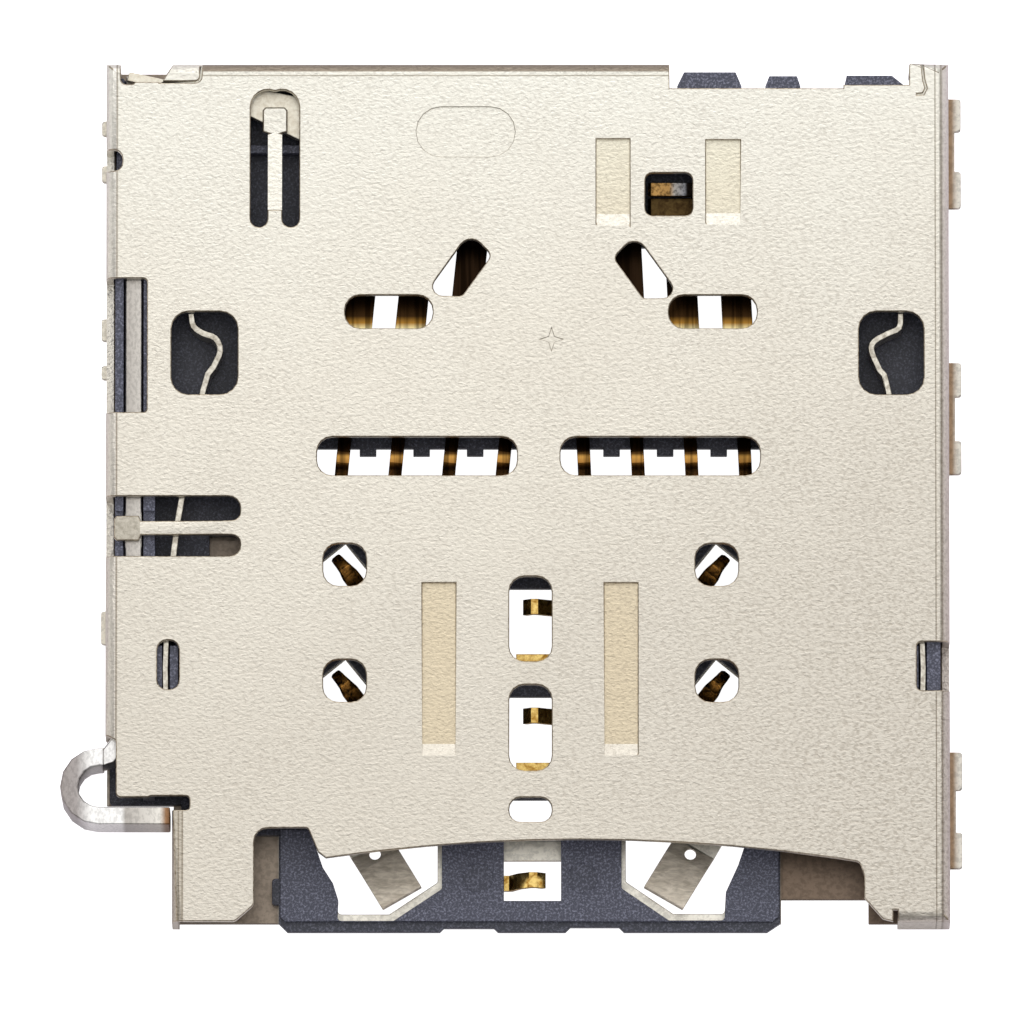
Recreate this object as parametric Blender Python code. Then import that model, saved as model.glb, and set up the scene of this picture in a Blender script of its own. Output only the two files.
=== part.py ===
"""Push-rod tray socket for a sim card and a small memory card.

Metres, +Z up. Z = 0 is the board, X = 0 and Y = 0 are the middle of the socket, the mouth faces -Y.
"""

import math

import bmesh
import bpy
from mathutils import Matrix, Vector

MM = 0.001

# Layers, from the board up
FRAME_SHEET = 0.15 * MM
STACK_GAP = 0.02 * MM
FLOOR = 0.25 * MM
CONTACT_SHEET = 0.12 * MM
SHELL_SHEET = 0.15 * MM
HEIGHT = 1.45 * MM
RIM_GAP = 0.03 * MM
SIDE_GAP = 0.03 * MM

FLOOR_BOTTOM = FRAME_SHEET + STACK_GAP
FLOOR_TOP = FLOOR_BOTTOM + FLOOR
SHELL_UNDER = HEIGHT - SHELL_SHEET
RIM_TOP = SHELL_UNDER - RIM_GAP
THROUGH = 1.0 * MM
EMBED = 0.06 * MM

# Shell, as seen from above
SHELL_LEFT = -8.32 * MM
SHELL_RIGHT = 8.97 * MM
SHELL_BACK = 8.96 * MM
SHELL_FRONT = -8.82 * MM
BEND_RADIUS = 0.20 * MM
BEND_STEPS = 3
BEND_RELIEF = 0.10 * MM
LEFT_WALL_FRONT = -4.96 * MM
CORNER_CUT_X = -8.10 * MM
CORNER_CUT_Y = -6.26 * MM
LEG_WALL_X = -6.95 * MM
LEG_SLOT_END = -6.59 * MM
LEG_SLOT_FRONT = -6.52 * MM
BACK_WALL_RIGHT = 3.24 * MM
BACK_EDGE_Y = 8.44 * MM
EAR_X = 8.16 * MM
FRONT_WALL_LEFT = 7.90 * MM
MOUTH_LEFT = -5.27 * MM
MOUTH_RIGHT = 7.21 * MM
MOUTH_Y = -7.13 * MM

# Shell window sizes: left, right, front, back, corner radius
WINDOW_STEPS = 4
SPRING_WINDOW_LEFT = (-6.98 * MM, -5.62 * MM, 2.08 * MM, 3.80 * MM, 0.36 * MM)
SPRING_WINDOW_RIGHT = (7.12 * MM, 8.45 * MM, 2.08 * MM, 3.80 * MM, 0.36 * MM)
ROOT_WINDOW_LEFT = (-7.26 * MM, -6.81 * MM, -4.03 * MM, -3.01 * MM, 0.20 * MM)
COIN_MARK = (-1.96 * MM, 0.07 * MM, 7.01 * MM, 8.05 * MM, 0.51 * MM)
COIN_DEPTH = 0.03 * MM
DETECT_WINDOW = (2.74 * MM, 3.71 * MM, 5.79 * MM, 6.68 * MM, 0.15 * MM)
BEAM_WINDOW_Y = (3.45 * MM, 4.14 * MM)
BEAM_WINDOWS_X = ((-3.42 * MM, -1.62 * MM), (3.22 * MM, 5.03 * MM))
TIP_WINDOW_Y = (0.40 * MM, 1.20 * MM)
TIP_WINDOWS_X = ((-3.99 * MM, 0.11 * MM), (1.00 * MM, 5.09 * MM))
CENTRE_WINDOW_X = (-0.05 * MM, 0.82 * MM)
CENTRE_WINDOWS_Y = ((-3.45 * MM, -1.69 * MM), (-5.71 * MM, -3.93 * MM), (-6.77 * MM, -6.26 * MM))
SIM_WINDOW = 0.88 * MM
SIM_WINDOW_RADIUS = 0.31 * MM
LEFT_CUT_Y = (1.71 * MM, 4.49 * MM)
LEFT_CUT_X = -7.48 * MM
RIGHT_CUT_Y = (-4.05 * MM, -3.04 * MM)
RIGHT_CUT_X = 8.29 * MM
TINY_NOTCH_Y = (6.72 * MM, 7.16 * MM)
BACK_NOTCH_X = (-8.03 * MM, -6.96 * MM)
BACK_NOTCH_Y = 8.54 * MM
NOTCH_SLANT = 0.22 * MM
TAB_RIGHT = -6.40 * MM
TAB_SLIT = 0.035 * MM
TAB_SLIT_DEPTH = 0.09 * MM
EAR_SPLIT = ((8.43, 8.95), (8.46, 8.62), (8.51, 8.44), (8.45, 8.32), (8.32, 8.31))
EAR_SPLIT_WIDTH = 0.03 * MM
STAR_MARK = (0.816 * MM, 3.222 * MM, 0.23 * MM, 0.055 * MM)
MARK_DEPTH = 0.02 * MM

# Pressed-down strips of the shell: left, right, front, back
PRESS_DEPTH = 0.08 * MM
PRESS_RAMP = 0.25 * MM
PRESSED_STRIPS = (
    (1.74 * MM, 2.42 * MM, 5.58 * MM, 7.38 * MM),
    (3.99 * MM, 4.69 * MM, 5.60 * MM, 7.36 * MM),
    (-1.83 * MM, -1.15 * MM, -5.40 * MM, -1.83 * MM),
    (1.90 * MM, 2.58 * MM, -5.40 * MM, -1.83 * MM),
)

# Spring fingers cut from the shell
FINGER_WIDTH = 0.30 * MM
FINGER_HEAD = 0.55 * MM
FINGER_SLOT = 0.35 * MM
FINGER_NECK = 0.36 * MM
FINGER_LOBE = 0.36 * MM
BACK_FINGER_X = -4.86 * MM
BACK_FINGER_Y = (5.55 * MM, 8.41 * MM)
BACK_FINGER_TIP = 8.07 * MM
SIDE_FINGER_Y = -0.68 * MM
SIDE_FINGER_X = -5.56 * MM
SIDE_FINGER_TIP = -8.15 * MM
SIDE_SLOTS_Y = (-1.27 * MM, -0.03 * MM)

# Card contacts
BEAM_WIDTH = 0.62 * MM
TIP_WIDTH = 0.27 * MM
ROW_PITCH = 1.10 * MM
ROW_FIRST_LEFT = -3.50 * MM
ROW_FIRST_RIGHT = 1.50 * MM
ROW_TIP_Y = 0.45 * MM
ROW_ROOT_Y = 5.95 * MM
ROW_TAIL = 0.45 * MM
ROW_LEAN_LEFT = 0.56 * MM
ROW_LEAN_RIGHT = -0.28 * MM
TIP_HEIGHT = 0.92 * MM
CLAMP_Y = (5.40 * MM, 5.75 * MM)
CLAMP_TOP = 0.72 * MM
SLOT_CLEAR = 0.03 * MM
SIM_COLUMN_PITCH = 7.62 * MM
SIM_MIDDLE_X = 0.39 * MM
SIM_FIRST_Y = -1.45 * MM
SIM_ROW_PITCH = 2.40 * MM
SIM_WIDTH = 0.35 * MM
SIM_LEAN = math.radians(51)
SIM_ROOT = 1.15 * MM
CENTRE_CONTACT_Y = (-2.25 * MM, -4.50 * MM)
CENTRE_TIP_X = 0.27 * MM
CENTRE_TURN_X = 1.35 * MM
CENTRE_WIDTH = 0.32 * MM
CENTRE_TAIL_DROP = 1.02 * MM
FRONT_CONTACT_Y = -7.86 * MM
DETECT_Y = 6.41 * MM
DETECT_ROOT_X = 5.80 * MM
DETECT_TIP_X = 2.83 * MM
DETECT_PAIR_STEP = 0.355 * MM
DETECT_WIDTH = 0.24 * MM
DETECT_PADS = (0.27 * MM, 0.40 * MM)
DETECT_PAD = 1.10 * MM
DETECT_CLAMP = 0.32 * MM
DETECT_CLAMP_GAP = 0.18 * MM

# Housing
FRONT_BAR = (-4.77 * MM, 5.50 * MM, -8.90 * MM)
FRONT_BAR_TOP = 0.50 * MM
FRONT_BAR_STEP = 0.20 * MM
BAR_CHAMFER = 0.18 * MM
BAR_RECESSES = ((-1.47 * MM, -0.28 * MM, 0.08 * MM), (1.10 * MM, 2.30 * MM, 0.10 * MM))
FLOOR_FRONT = -6.90 * MM
TALL_WALL_BACK = 6.25 * MM
RAIL_WALL = 0.24 * MM
RIGHT_RAIL = 0.28 * MM
GUIDE_LEFT = (-6.50 * MM, -6.28 * MM)
GUIDE_RIGHT = (7.70 * MM, 7.92 * MM)
GUIDE_GAP_Y = (-4.60 * MM, 4.20 * MM)
GUIDE_RIGHT_BACK = 7.80 * MM
BACK_RIB_LEFT = -6.30 * MM
BACK_RIB = 0.26 * MM
LEVER_RIB = (-5.60 * MM, -4.10 * MM, 7.19 * MM, 7.36 * MM)
SPRING_BLOCK = 0.17 * MM
BEAM_OPENINGS_X = ((-3.95 * MM, 0.62 * MM), (0.90 * MM, 5.30 * MM))
SPRING_OPENING = (-6.20 * MM, -5.52 * MM, -1.18 * MM, -0.70 * MM)
FRONT_WINDOW = (-0.16 * MM, 1.01 * MM, -8.27 * MM, -7.00 * MM)
LUG_SHOULDER = 0.07 * MM

# Lugs behind the sheet: left, left of the tip, right of the tip, right, back
BACK_LUGS = (
    (3.40 * MM, 3.54 * MM, 4.60 * MM, 4.72 * MM, 8.80 * MM),
    (5.21 * MM, 5.29 * MM, 5.86 * MM, 5.93 * MM, 8.72 * MM),
    (6.83 * MM, 6.88 * MM, 7.81 * MM, 8.08 * MM, 8.73 * MM),
)
NUB_Y = (-8.34 * MM, -7.80 * MM)
NUB_OUT = 0.14 * MM
GATE_MARKS_X = (-0.69 * MM, 1.45 * MM)
GATE_MARK_Y = -7.80 * MM
GATE_MARK = 0.31 * MM

# Latch springs: strips on edge
STRIP = 0.12 * MM
STRIP_LOW = 0.50 * MM
STRIP_TOP_GAP = 0.10 * MM
STRIP_HIGH = SHELL_UNDER - STRIP_TOP_GAP
SPRING_ROOT_Y = -4.05 * MM
SPRING_ROOT_LEFT = -7.08 * MM
SPRING_ROOT_RIGHT = 8.41 * MM
SPRING_ROOT_BACK = 1.00 * MM
SPRING_ROOT_FRONT = 0.30 * MM
SPRING_BENDS_LEFT = (
    (-6.86 * MM, -0.60 * MM),
    (-6.33 * MM, 2.20 * MM),
    (-6.12 * MM, 2.68 * MM),
    (-5.98 * MM, 3.02 * MM),
    (-6.08 * MM, 3.28 * MM),
    (-6.33 * MM, 3.38 * MM),
    (-6.53 * MM, 3.53 * MM),
    (-6.58 * MM, 3.80 * MM),
)
SPRING_BENDS_RIGHT = (
    (8.16 * MM, -0.60 * MM),
    (7.72 * MM, 2.20 * MM),
    (7.55 * MM, 2.62 * MM),
    (7.38 * MM, 3.02 * MM),
    (7.44 * MM, 3.22 * MM),
    (7.72 * MM, 3.38 * MM),
    (7.95 * MM, 3.50 * MM),
    (7.98 * MM, 3.80 * MM),
)

# Push rod and lever
ROD = 0.35 * MM
ROD_X = -7.755 * MM
ROD_LOW = 0.35 * MM
ROD_TOP_GAP = 0.10 * MM
ROD_HIGH = SHELL_UNDER - ROD_TOP_GAP
ROD_CLEAR = 0.03 * MM
ROD_BACK = 8.80 * MM
ROD_TALL_BACK = 7.75 * MM
HOOK_X = -8.45 * MM
HOOK_Y = -6.03 * MM
HOOK_RADIUS = 0.61 * MM
HOOK_END = -6.99 * MM
HOOK_LOW = 0.20 * MM
HOOK_TOP_GAP = 0.03 * MM
HOOK_HIGH = HEIGHT - HOOK_TOP_GAP
POST_RADIUS = 0.15 * MM
POST_Y = 8.42 * MM
LEVER_SHEET = 0.30 * MM
LEVER_GAP = 0.04 * MM
LEVER_TOP_GAP = 0.18 * MM
LEVER_HIGH = SHELL_UNDER - LEVER_TOP_GAP
LEVER_LOW = LEVER_HIGH - LEVER_SHEET
LOW_WALL_TOP = LEVER_LOW - LEVER_GAP
PIVOT_X = -3.30 * MM
PIVOT_Y = 7.45 * MM
PIVOT_RADIUS = 0.35 * MM
PIVOT_HEAD = 0.58 * MM
PIVOT_CLEAR = 0.03 * MM
LEVER_BOSS = 0.72 * MM
LEVER_TIP = (5.05 * MM, -0.80 * MM)
LEVER_TIP_RADIUS = 0.20 * MM
FORK_SLOT = 0.19 * MM
FORK_PRONG = 0.19 * MM
FORK_PAST_POST = 0.19 * MM
FORK_DEPTH = 0.34 * MM
ARM_MIDDLE = 2.10 * MM

# Frame and feet
FRAME_FRONT = -8.70 * MM
FOOT_OUT_RIGHT = 0.27 * MM
FOOT_OUT_LEFT = 0.11 * MM
FOOT_BRIDGE = 0.14 * MM
FEET_RIGHT = (
    (7.74 * MM, 8.42 * MM),
    (6.14 * MM, 6.91 * MM),
    (2.22 * MM, 2.93 * MM),
    (0.61 * MM, 1.31 * MM),
    (-5.94 * MM, -5.15 * MM),
    (-7.56 * MM, -6.81 * MM),
)
FEET_LEFT = (
    (7.65 * MM, 7.96 * MM),
    (6.68 * MM, 7.03 * MM),
    (3.38 * MM, 3.84 * MM),
    (2.58 * MM, 2.87 * MM),
    (-2.92 * MM, -2.23 * MM),
)
BLADE_WIDTH = 0.92 * MM
BLADE_HIGH = 0.62 * MM
BLADE_ROOTS = ((-3.12 * MM, -60), (3.98 * MM, -120))
BLADE_ROOT_Y = -6.72 * MM
BLADE_LENGTH = 1.75 * MM


def rounded(corners, steps=WINDOW_STEPS):
    """Outline points from corners given as x, y and corner radius."""
    points = []
    count = len(corners)
    for index, (x, y, radius) in enumerate(corners):
        here = Vector((x, y))
        if radius <= 0:
            points.append(here)
            continue
        to_last = Vector(corners[index - 1][:2]) - here
        to_next = Vector(corners[(index + 1) % count][:2]) - here
        half = to_last.angle(to_next) / 2
        back = min(radius / math.tan(half), to_last.length * 0.49, to_next.length * 0.49)
        middle = (to_last.normalized() + to_next.normalized()).normalized()
        centre = here + middle * (back / math.cos(half))
        first = here + to_last.normalized() * back - centre
        last = here + to_next.normalized() * back - centre
        start = math.atan2(first.y, first.x)
        sweep = math.remainder(math.atan2(last.y, last.x) - start, 2 * math.pi)
        for step in range(steps + 1):
            angle = start + sweep * step / steps
            points.append(centre + Vector((math.cos(angle), math.sin(angle))) * first.length)
    return points


def rectangle(left, right, front, back, radius=0.0):
    """Rectangle outline with equal corner radii."""
    corners = ((left, front), (right, front), (right, back), (left, back))
    return rounded([(x, y, radius) for x, y in corners])


def circle(x, y, radius, sides=20):
    """Round outline."""
    turns = [2 * math.pi * side / sides for side in range(sides)]
    return [Vector((x + radius * math.cos(turn), y + radius * math.sin(turn))) for turn in turns]


def ribbon(path, thickness):
    """The two edges of a path of 2-D points, half a thickness to either side, with mitred bends."""
    points = [Vector(point) for point in path]
    steps = [(after - before).normalized() for before, after in zip(points, points[1:])]
    upper = []
    lower = []
    for index, point in enumerate(points):
        before = steps[max(index - 1, 0)]
        after = steps[min(index, len(steps) - 1)]
        side = (before + after).normalized().orthogonal()
        reach = thickness / 2 / side.dot(after.orthogonal())
        upper.append(point + side * reach)
        lower.append(point - side * reach)
    return upper, lower


def smooth_path(points, steps=3):
    """More points on the smooth curve through 2-D points (Catmull-Rom)."""
    spots = [Vector(point) for point in points]
    spots = [spots[0] * 2 - spots[1]] + spots + [spots[-1] * 2 - spots[-2]]
    path = []
    for a, b, c, d in zip(spots, spots[1:], spots[2:], spots[3:]):
        for step in range(steps):
            t = step / steps
            bend = (a * 2 - b * 5 + c * 4 - d) * t ** 2
            swing = (b * 3 - a - c * 3 + d) * t ** 3
            path.append((b * 2 + (c - a) * t + bend + swing) * 0.5)
    path.append(spots[-2])
    return path


def prism(bm, outline, low, high):
    """Upright solid on an outline of x, y points."""
    ring = [bm.verts.new((x, y, low)) for x, y in outline]
    raised = bmesh.ops.extrude_face_region(bm, geom=[bm.faces.new(ring)])
    top = [item for item in raised["geom"] if isinstance(item, bmesh.types.BMVert)]
    bmesh.ops.translate(bm, verts=top, vec=(0, 0, high - low))


def side_prism(bm, outline, left, right):
    """Solid between two X places, on an outline of y, z points."""
    ring = [bm.verts.new((left, y, z)) for y, z in outline]
    pushed = bmesh.ops.extrude_face_region(bm, geom=[bm.faces.new(ring)])
    far = [item for item in pushed["geom"] if isinstance(item, bmesh.types.BMVert)]
    bmesh.ops.translate(bm, verts=far, vec=(right - left, 0, 0))


def box(bm, left, right, front, back, low, high):
    """Upright block."""
    prism(bm, rectangle(left, right, front, back), low, high)


def bent_strip(bm, path, thickness):
    """Flat strip bent up and down along +X, from path points of place, height and width."""
    upper, lower = ribbon([(place, height) for place, height, _ in path], thickness)
    rings = []
    for high, low, (_, _, width) in zip(upper, lower, path):
        spots = [(low.x, -width / 2, low.y), (low.x, width / 2, low.y)]
        spots += [(high.x, width / 2, high.y), (high.x, -width / 2, high.y)]
        rings.append([bm.verts.new(spot) for spot in spots])
    for first, second in zip(rings, rings[1:]):
        for side in range(4):
            other = (side + 1) % 4
            bm.faces.new((first[side], first[other], second[other], second[side]))
    bm.faces.new(rings[0])
    bm.faces.new(rings[-1])
    return [vert for ring in rings for vert in ring]


def material(name, colour, roughness, metallic):
    """Plain surface colour of a piece."""
    surface = bpy.data.materials.new(name)
    surface.use_nodes = True
    shader = surface.node_tree.nodes["Principled BSDF"]
    shader.inputs["Base Color"].default_value = (*colour, 1.0)
    shader.inputs["Roughness"].default_value = roughness
    shader.inputs["Metallic"].default_value = metallic
    surface.diffuse_color = (*colour, 1.0)
    return surface


def finish_object(name, bm, location):
    """Object with the mesh, its faces turned outwards."""
    bmesh.ops.recalc_face_normals(bm, faces=bm.faces)
    mesh = bpy.data.meshes.new(name)
    bm.to_mesh(mesh)
    bm.free()
    made = bpy.data.objects.new(name, mesh)
    made.location = location
    bpy.context.scene.collection.objects.link(made)
    return made


def piece(name, bm, surface, parent, location=(0, 0, 0)):
    """Named piece of the socket."""
    made = finish_object(name, bm, location)
    made.data.materials.append(surface)
    made.parent = parent
    return made


def tool(name, bm, location=(0, 0, 0)):
    """Helper solid that only shapes a piece."""
    made = finish_object(name, bm, location)
    made.display_type = "WIRE"
    made.hide_render = True
    return made


def shape(target, helper, operation):
    """Cuts a helper from a piece, or joins it on."""
    step = target.modifiers.new(helper.name, "BOOLEAN")
    step.operation = operation
    step.solver = "EXACT"
    step.object = helper


def mouth_edge(steps=10):
    """Shallow bow of the sheet over the mouth, from the left chamfer to the right leg."""
    middle = 1.40 * MM
    half = 5.20 * MM
    drop = 0.38 * MM
    places = [middle + half * (2 * step / steps - 1) for step in range(steps + 1)]
    return [(x, MOUTH_Y - drop * ((x - middle) / half) ** 2, 0) for x in places]


def shell_outline():
    """Outer edge of the folded sheet, counter-clockwise from the back left corner."""
    corners = [
        (SHELL_LEFT, SHELL_BACK, 0),
        (SHELL_LEFT, LEFT_WALL_FRONT, 0),
        (CORNER_CUT_X, LEFT_WALL_FRONT - 0.12 * MM, 0.08 * MM),
        (CORNER_CUT_X, CORNER_CUT_Y, 0.10 * MM),
        (LEG_WALL_X, CORNER_CUT_Y, 0),
        (LEG_WALL_X, SHELL_FRONT, 0),
        (-5.66 * MM, SHELL_FRONT, 0.15 * MM),
        (MOUTH_LEFT, SHELL_FRONT + 0.34 * MM, 0.15 * MM),
        (MOUTH_LEFT, MOUTH_Y + 0.24 * MM, 0.28 * MM),
        (-4.17 * MM, MOUTH_Y + 0.24 * MM, 0.08 * MM),
        (-3.96 * MM, MOUTH_Y - 0.26 * MM, 0.10 * MM),
    ]
    corners += mouth_edge()
    corners += [
        (MOUTH_RIGHT - 0.10 * MM, MOUTH_Y - 0.46 * MM, 0.12 * MM),
        (MOUTH_RIGHT, MOUTH_Y - 0.75 * MM, 0.15 * MM),
        (MOUTH_RIGHT, SHELL_FRONT + 0.48 * MM, 0.10 * MM),
        (MOUTH_RIGHT + 0.38 * MM, SHELL_FRONT + 0.05 * MM, 0.10 * MM),
        (FRONT_WALL_LEFT - BEND_RELIEF, SHELL_FRONT, 0),
        (FRONT_WALL_LEFT - BEND_RELIEF, SHELL_FRONT + BEND_RADIUS + 0.04 * MM, 0),
        (FRONT_WALL_LEFT, SHELL_FRONT + BEND_RADIUS + 0.04 * MM, 0),
        (FRONT_WALL_LEFT, SHELL_FRONT, 0),
        (SHELL_RIGHT, SHELL_FRONT, 0),
        (SHELL_RIGHT, SHELL_BACK, 0),
        (EAR_X, SHELL_BACK, 0.05 * MM),
        (EAR_X, BACK_EDGE_Y + 0.07 * MM, 0),
        (6.81 * MM, BACK_EDGE_Y + 0.07 * MM, 0),
        (6.81 * MM, BACK_EDGE_Y, 0),
        (BACK_WALL_RIGHT, BACK_EDGE_Y, 0),
        (BACK_WALL_RIGHT, SHELL_BACK, 0),
    ]
    return rounded(corners)


def is_fold(edge):
    """True for a top edge of the outer block where the sheet folds down into a wall."""
    first, last = (vert.co for vert in edge.verts)
    if min(first.z, last.z) < HEIGHT - STACK_GAP:
        return False
    near = 0.001 * MM
    for place in (SHELL_LEFT, LEG_WALL_X, SHELL_RIGHT):
        if abs(first.x - place) < near and abs(last.x - place) < near:
            return True
    if abs(first.y - SHELL_BACK) < near and abs(last.y - SHELL_BACK) < near:
        return True
    front = abs(first.y - SHELL_FRONT) < near and abs(last.y - SHELL_FRONT) < near
    return front and min(first.x, last.x) > FRONT_WALL_LEFT - near


def shell_block():
    """Outer form of the shell with its folds rounded."""
    bm = bmesh.new()
    prism(bm, shell_outline(), FLOOR_BOTTOM, HEIGHT)
    folds = [edge for edge in bm.edges if is_fold(edge)]
    bmesh.ops.bevel(
        bm, geom=folds, offset=BEND_RADIUS, offset_type="OFFSET", segments=BEND_STEPS,
        profile=0.5, affect="EDGES", material=-1,
    )
    return bm


def shell_cavity():
    """Room under the sheet, open past every edge that has no wall."""
    out = 0.6 * MM
    slack = 0.02 * MM
    left = SHELL_LEFT + SHELL_SHEET
    right = SHELL_RIGHT - SHELL_SHEET
    back = SHELL_BACK - SHELL_SHEET
    leg_wall_back = CORNER_CUT_Y - 0.15 * MM
    corners = (
        (left, back),
        (left, LEFT_WALL_FRONT + slack),
        (SHELL_LEFT - out, LEFT_WALL_FRONT + slack),
        (SHELL_LEFT - out, leg_wall_back),
        (LEG_WALL_X + SHELL_SHEET, leg_wall_back),
        (LEG_WALL_X + SHELL_SHEET, SHELL_FRONT - out),
        (FRONT_WALL_LEFT - slack, SHELL_FRONT - out),
        (FRONT_WALL_LEFT - slack, SHELL_FRONT + SHELL_SHEET),
        (right, SHELL_FRONT + SHELL_SHEET),
        (right, back),
        (EAR_X - slack, back),
        (EAR_X - slack, SHELL_BACK + out),
        (BACK_WALL_RIGHT + slack, SHELL_BACK + out),
        (BACK_WALL_RIGHT + slack, back),
    )
    bm = bmesh.new()
    prism(bm, corners, FLOOR_BOTTOM - THROUGH, SHELL_UNDER)
    return bm


def slanted_window(tip_x, tip_y, lean):
    """Pear-shaped window: round at the back, wider at its foot, leaning sideways."""
    corners = (
        (tip_x, tip_y, 0.27 * MM),
        (tip_x - lean * 0.45 * MM, tip_y - 0.48 * MM, 0.15 * MM),
        (tip_x + lean * 0.16 * MM, tip_y - 1.33 * MM, 0.12 * MM),
        (tip_x + lean * 0.94 * MM, tip_y - 1.32 * MM, 0.22 * MM),
    )
    return rounded(corners if lean > 0 else corners[::-1], 5)


def finger_window(length, right, left, back_radius):
    """Window round a spring finger, along +X: two slots with round ends, joined past its tip."""
    half = FINGER_WIDTH / 2
    end = FINGER_SLOT
    corners = (
        (0, right, end),
        (length, right, back_radius),
        (length, left, back_radius),
        (0, left, end),
        (0, half, end),
        (FINGER_NECK, half, 0),
        (FINGER_NECK, -half, 0),
        (0, -half, end),
    )
    return rounded(corners)


def lobed_finger_window(length):
    """The same window with an end of two round lobes that meet in a low cusp."""
    outer = FINGER_WIDTH / 2 + FINGER_SLOT
    across = outer - FINGER_LOBE
    past = math.asin(across / FINGER_LOBE)
    sweep = math.pi / 2 + past
    steps = WINDOW_STEPS + 2
    plain = finger_window(length, -outer, outer, 0)
    lobes = []
    for side in (-1, 1):
        for step in range(steps + 1):
            share = step / steps if side < 0 else 1 - step / steps
            angle = side * (math.pi / 2 - sweep * share)
            if side > 0 and step == 0:
                continue
            x = length - FINGER_LOBE + FINGER_LOBE * math.cos(angle)
            lobes.append(Vector((x, side * across + FINGER_LOBE * math.sin(angle))))
    far = [index for index, spot in enumerate(plain) if spot.x > length - 0.001 * MM]
    return plain[:far[0]] + lobes + plain[far[-1] + 1:]


def set_down(outline, place, turn):
    """Outline turned about its own start and moved to its place."""
    turned = Matrix.Rotation(turn, 2)
    return [turned @ Vector(spot) + Vector(place) for spot in outline]


def top_windows(bm):
    """Windows through the top sheet only."""
    low = SHELL_UNDER - EMBED
    high = HEIGHT + THROUGH
    for window in (SPRING_WINDOW_LEFT, SPRING_WINDOW_RIGHT, ROOT_WINDOW_LEFT, DETECT_WINDOW):
        prism(bm, rectangle(*window), low, high)
    rows = [(sides, BEAM_WINDOW_Y) for sides in BEAM_WINDOWS_X]
    rows += [(sides, TIP_WINDOW_Y) for sides in TIP_WINDOWS_X]
    rows += [(CENTRE_WINDOW_X, place) for place in CENTRE_WINDOWS_Y]
    for (left, right), (front, back) in rows:
        radius = min(right - left, back - front) * 0.45
        radius = min(radius, SIM_WINDOW_RADIUS)
        prism(bm, rectangle(left, right, front, back, radius), low, high)
    for side in (-1, 1):
        for row in range(2):
            x = SIM_MIDDLE_X + side * SIM_COLUMN_PITCH / 2
            y = SIM_FIRST_Y - row * SIM_ROW_PITCH
            half = SIM_WINDOW / 2
            prism(bm, rectangle(x - half, x + half, y - half, y + half, SIM_WINDOW_RADIUS), low, high)
    prism(bm, slanted_window(-0.86 * MM, 5.45 * MM, -1), low, high)
    prism(bm, slanted_window(2.54 * MM, 5.40 * MM, 1), low, high)
    front, back = BACK_FINGER_Y
    outline = lobed_finger_window(back - front)
    prism(bm, set_down(outline, (BACK_FINGER_X, front), math.pi / 2), low, high)


def edge_cuts(bm):
    """Cut-outs that run over a fold and down a wall."""
    out = 0.5 * MM
    high = HEIGHT + THROUGH
    wall_low = FLOOR_TOP + 0.10 * MM
    left = SHELL_LEFT - out
    right = SHELL_RIGHT + out
    notch_left, notch_right = BACK_NOTCH_X
    notch = rounded([
        (notch_left, SHELL_BACK + out, 0),
        (notch_left, BACK_NOTCH_Y - 0.02 * MM, 0.12 * MM),
        (notch_left + 0.26 * MM, BACK_NOTCH_Y - 0.02 * MM, 0.10 * MM),
        (notch_left + 0.30 * MM, BACK_NOTCH_Y + 0.03 * MM, 0),
        (notch_right - NOTCH_SLANT, BACK_NOTCH_Y + 0.03 * MM, 0),
        (notch_right, SHELL_BACK - 0.02 * MM, 0),
        (notch_right, SHELL_BACK + out, 0),
    ])
    prism(bm, notch, FLOOR_BOTTOM - THROUGH, high)
    prism(bm, rectangle(left, LEFT_CUT_X, *LEFT_CUT_Y, 0.08 * MM), wall_low, high)
    prism(bm, rectangle(RIGHT_CUT_X, right, *RIGHT_CUT_Y, 0.10 * MM), wall_low, high)
    prism(bm, rectangle(left, SHELL_LEFT + 0.33 * MM, *TINY_NOTCH_Y, 0.18 * MM), wall_low, high)
    slots_front, slots_back = SIDE_SLOTS_Y
    nearer = SIDE_FINGER_Y - slots_back
    further = SIDE_FINGER_Y - slots_front
    outline = finger_window(SIDE_FINGER_X - left, nearer, further, 0)
    prism(bm, set_down(outline, (SIDE_FINGER_X, SIDE_FINGER_Y), math.pi), wall_low, high)
    slot = rectangle(LEG_WALL_X - out, LEG_SLOT_END, LEG_SLOT_FRONT, CORNER_CUT_Y + EMBED / 2, 0.08 * MM)
    prism(bm, slot, FLOOR_BOTTOM - THROUGH, high)


def marks():
    """Shallow coin mark and the pressed-down strips, whose front ends are ramps."""
    bm = bmesh.new()
    left, right, front, back, radius = COIN_MARK
    prism(bm, rectangle(left, right, front, back, radius), HEIGHT - COIN_DEPTH, HEIGHT + THROUGH)
    bottom = HEIGHT - PRESS_DEPTH
    for left, right, front, back in PRESSED_STRIPS:
        profile = (
            (front, HEIGHT),
            (front + PRESS_RAMP, bottom),
            (back, bottom),
            (back, HEIGHT + THROUGH),
            (front, HEIGHT + THROUGH),
        )
        side_prism(bm, profile, left, right)
    return bm


def star_outline(x, y, reach, waist):
    """Four-pointed mark that the stamping tools are lined up by."""
    spots = []
    for point in range(8):
        turn = math.pi / 4 * point
        radius = waist * math.sqrt(2) if point % 2 else reach
        spots.append(Vector((x + radius * math.cos(turn), y + radius * math.sin(turn))))
    return spots


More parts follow.
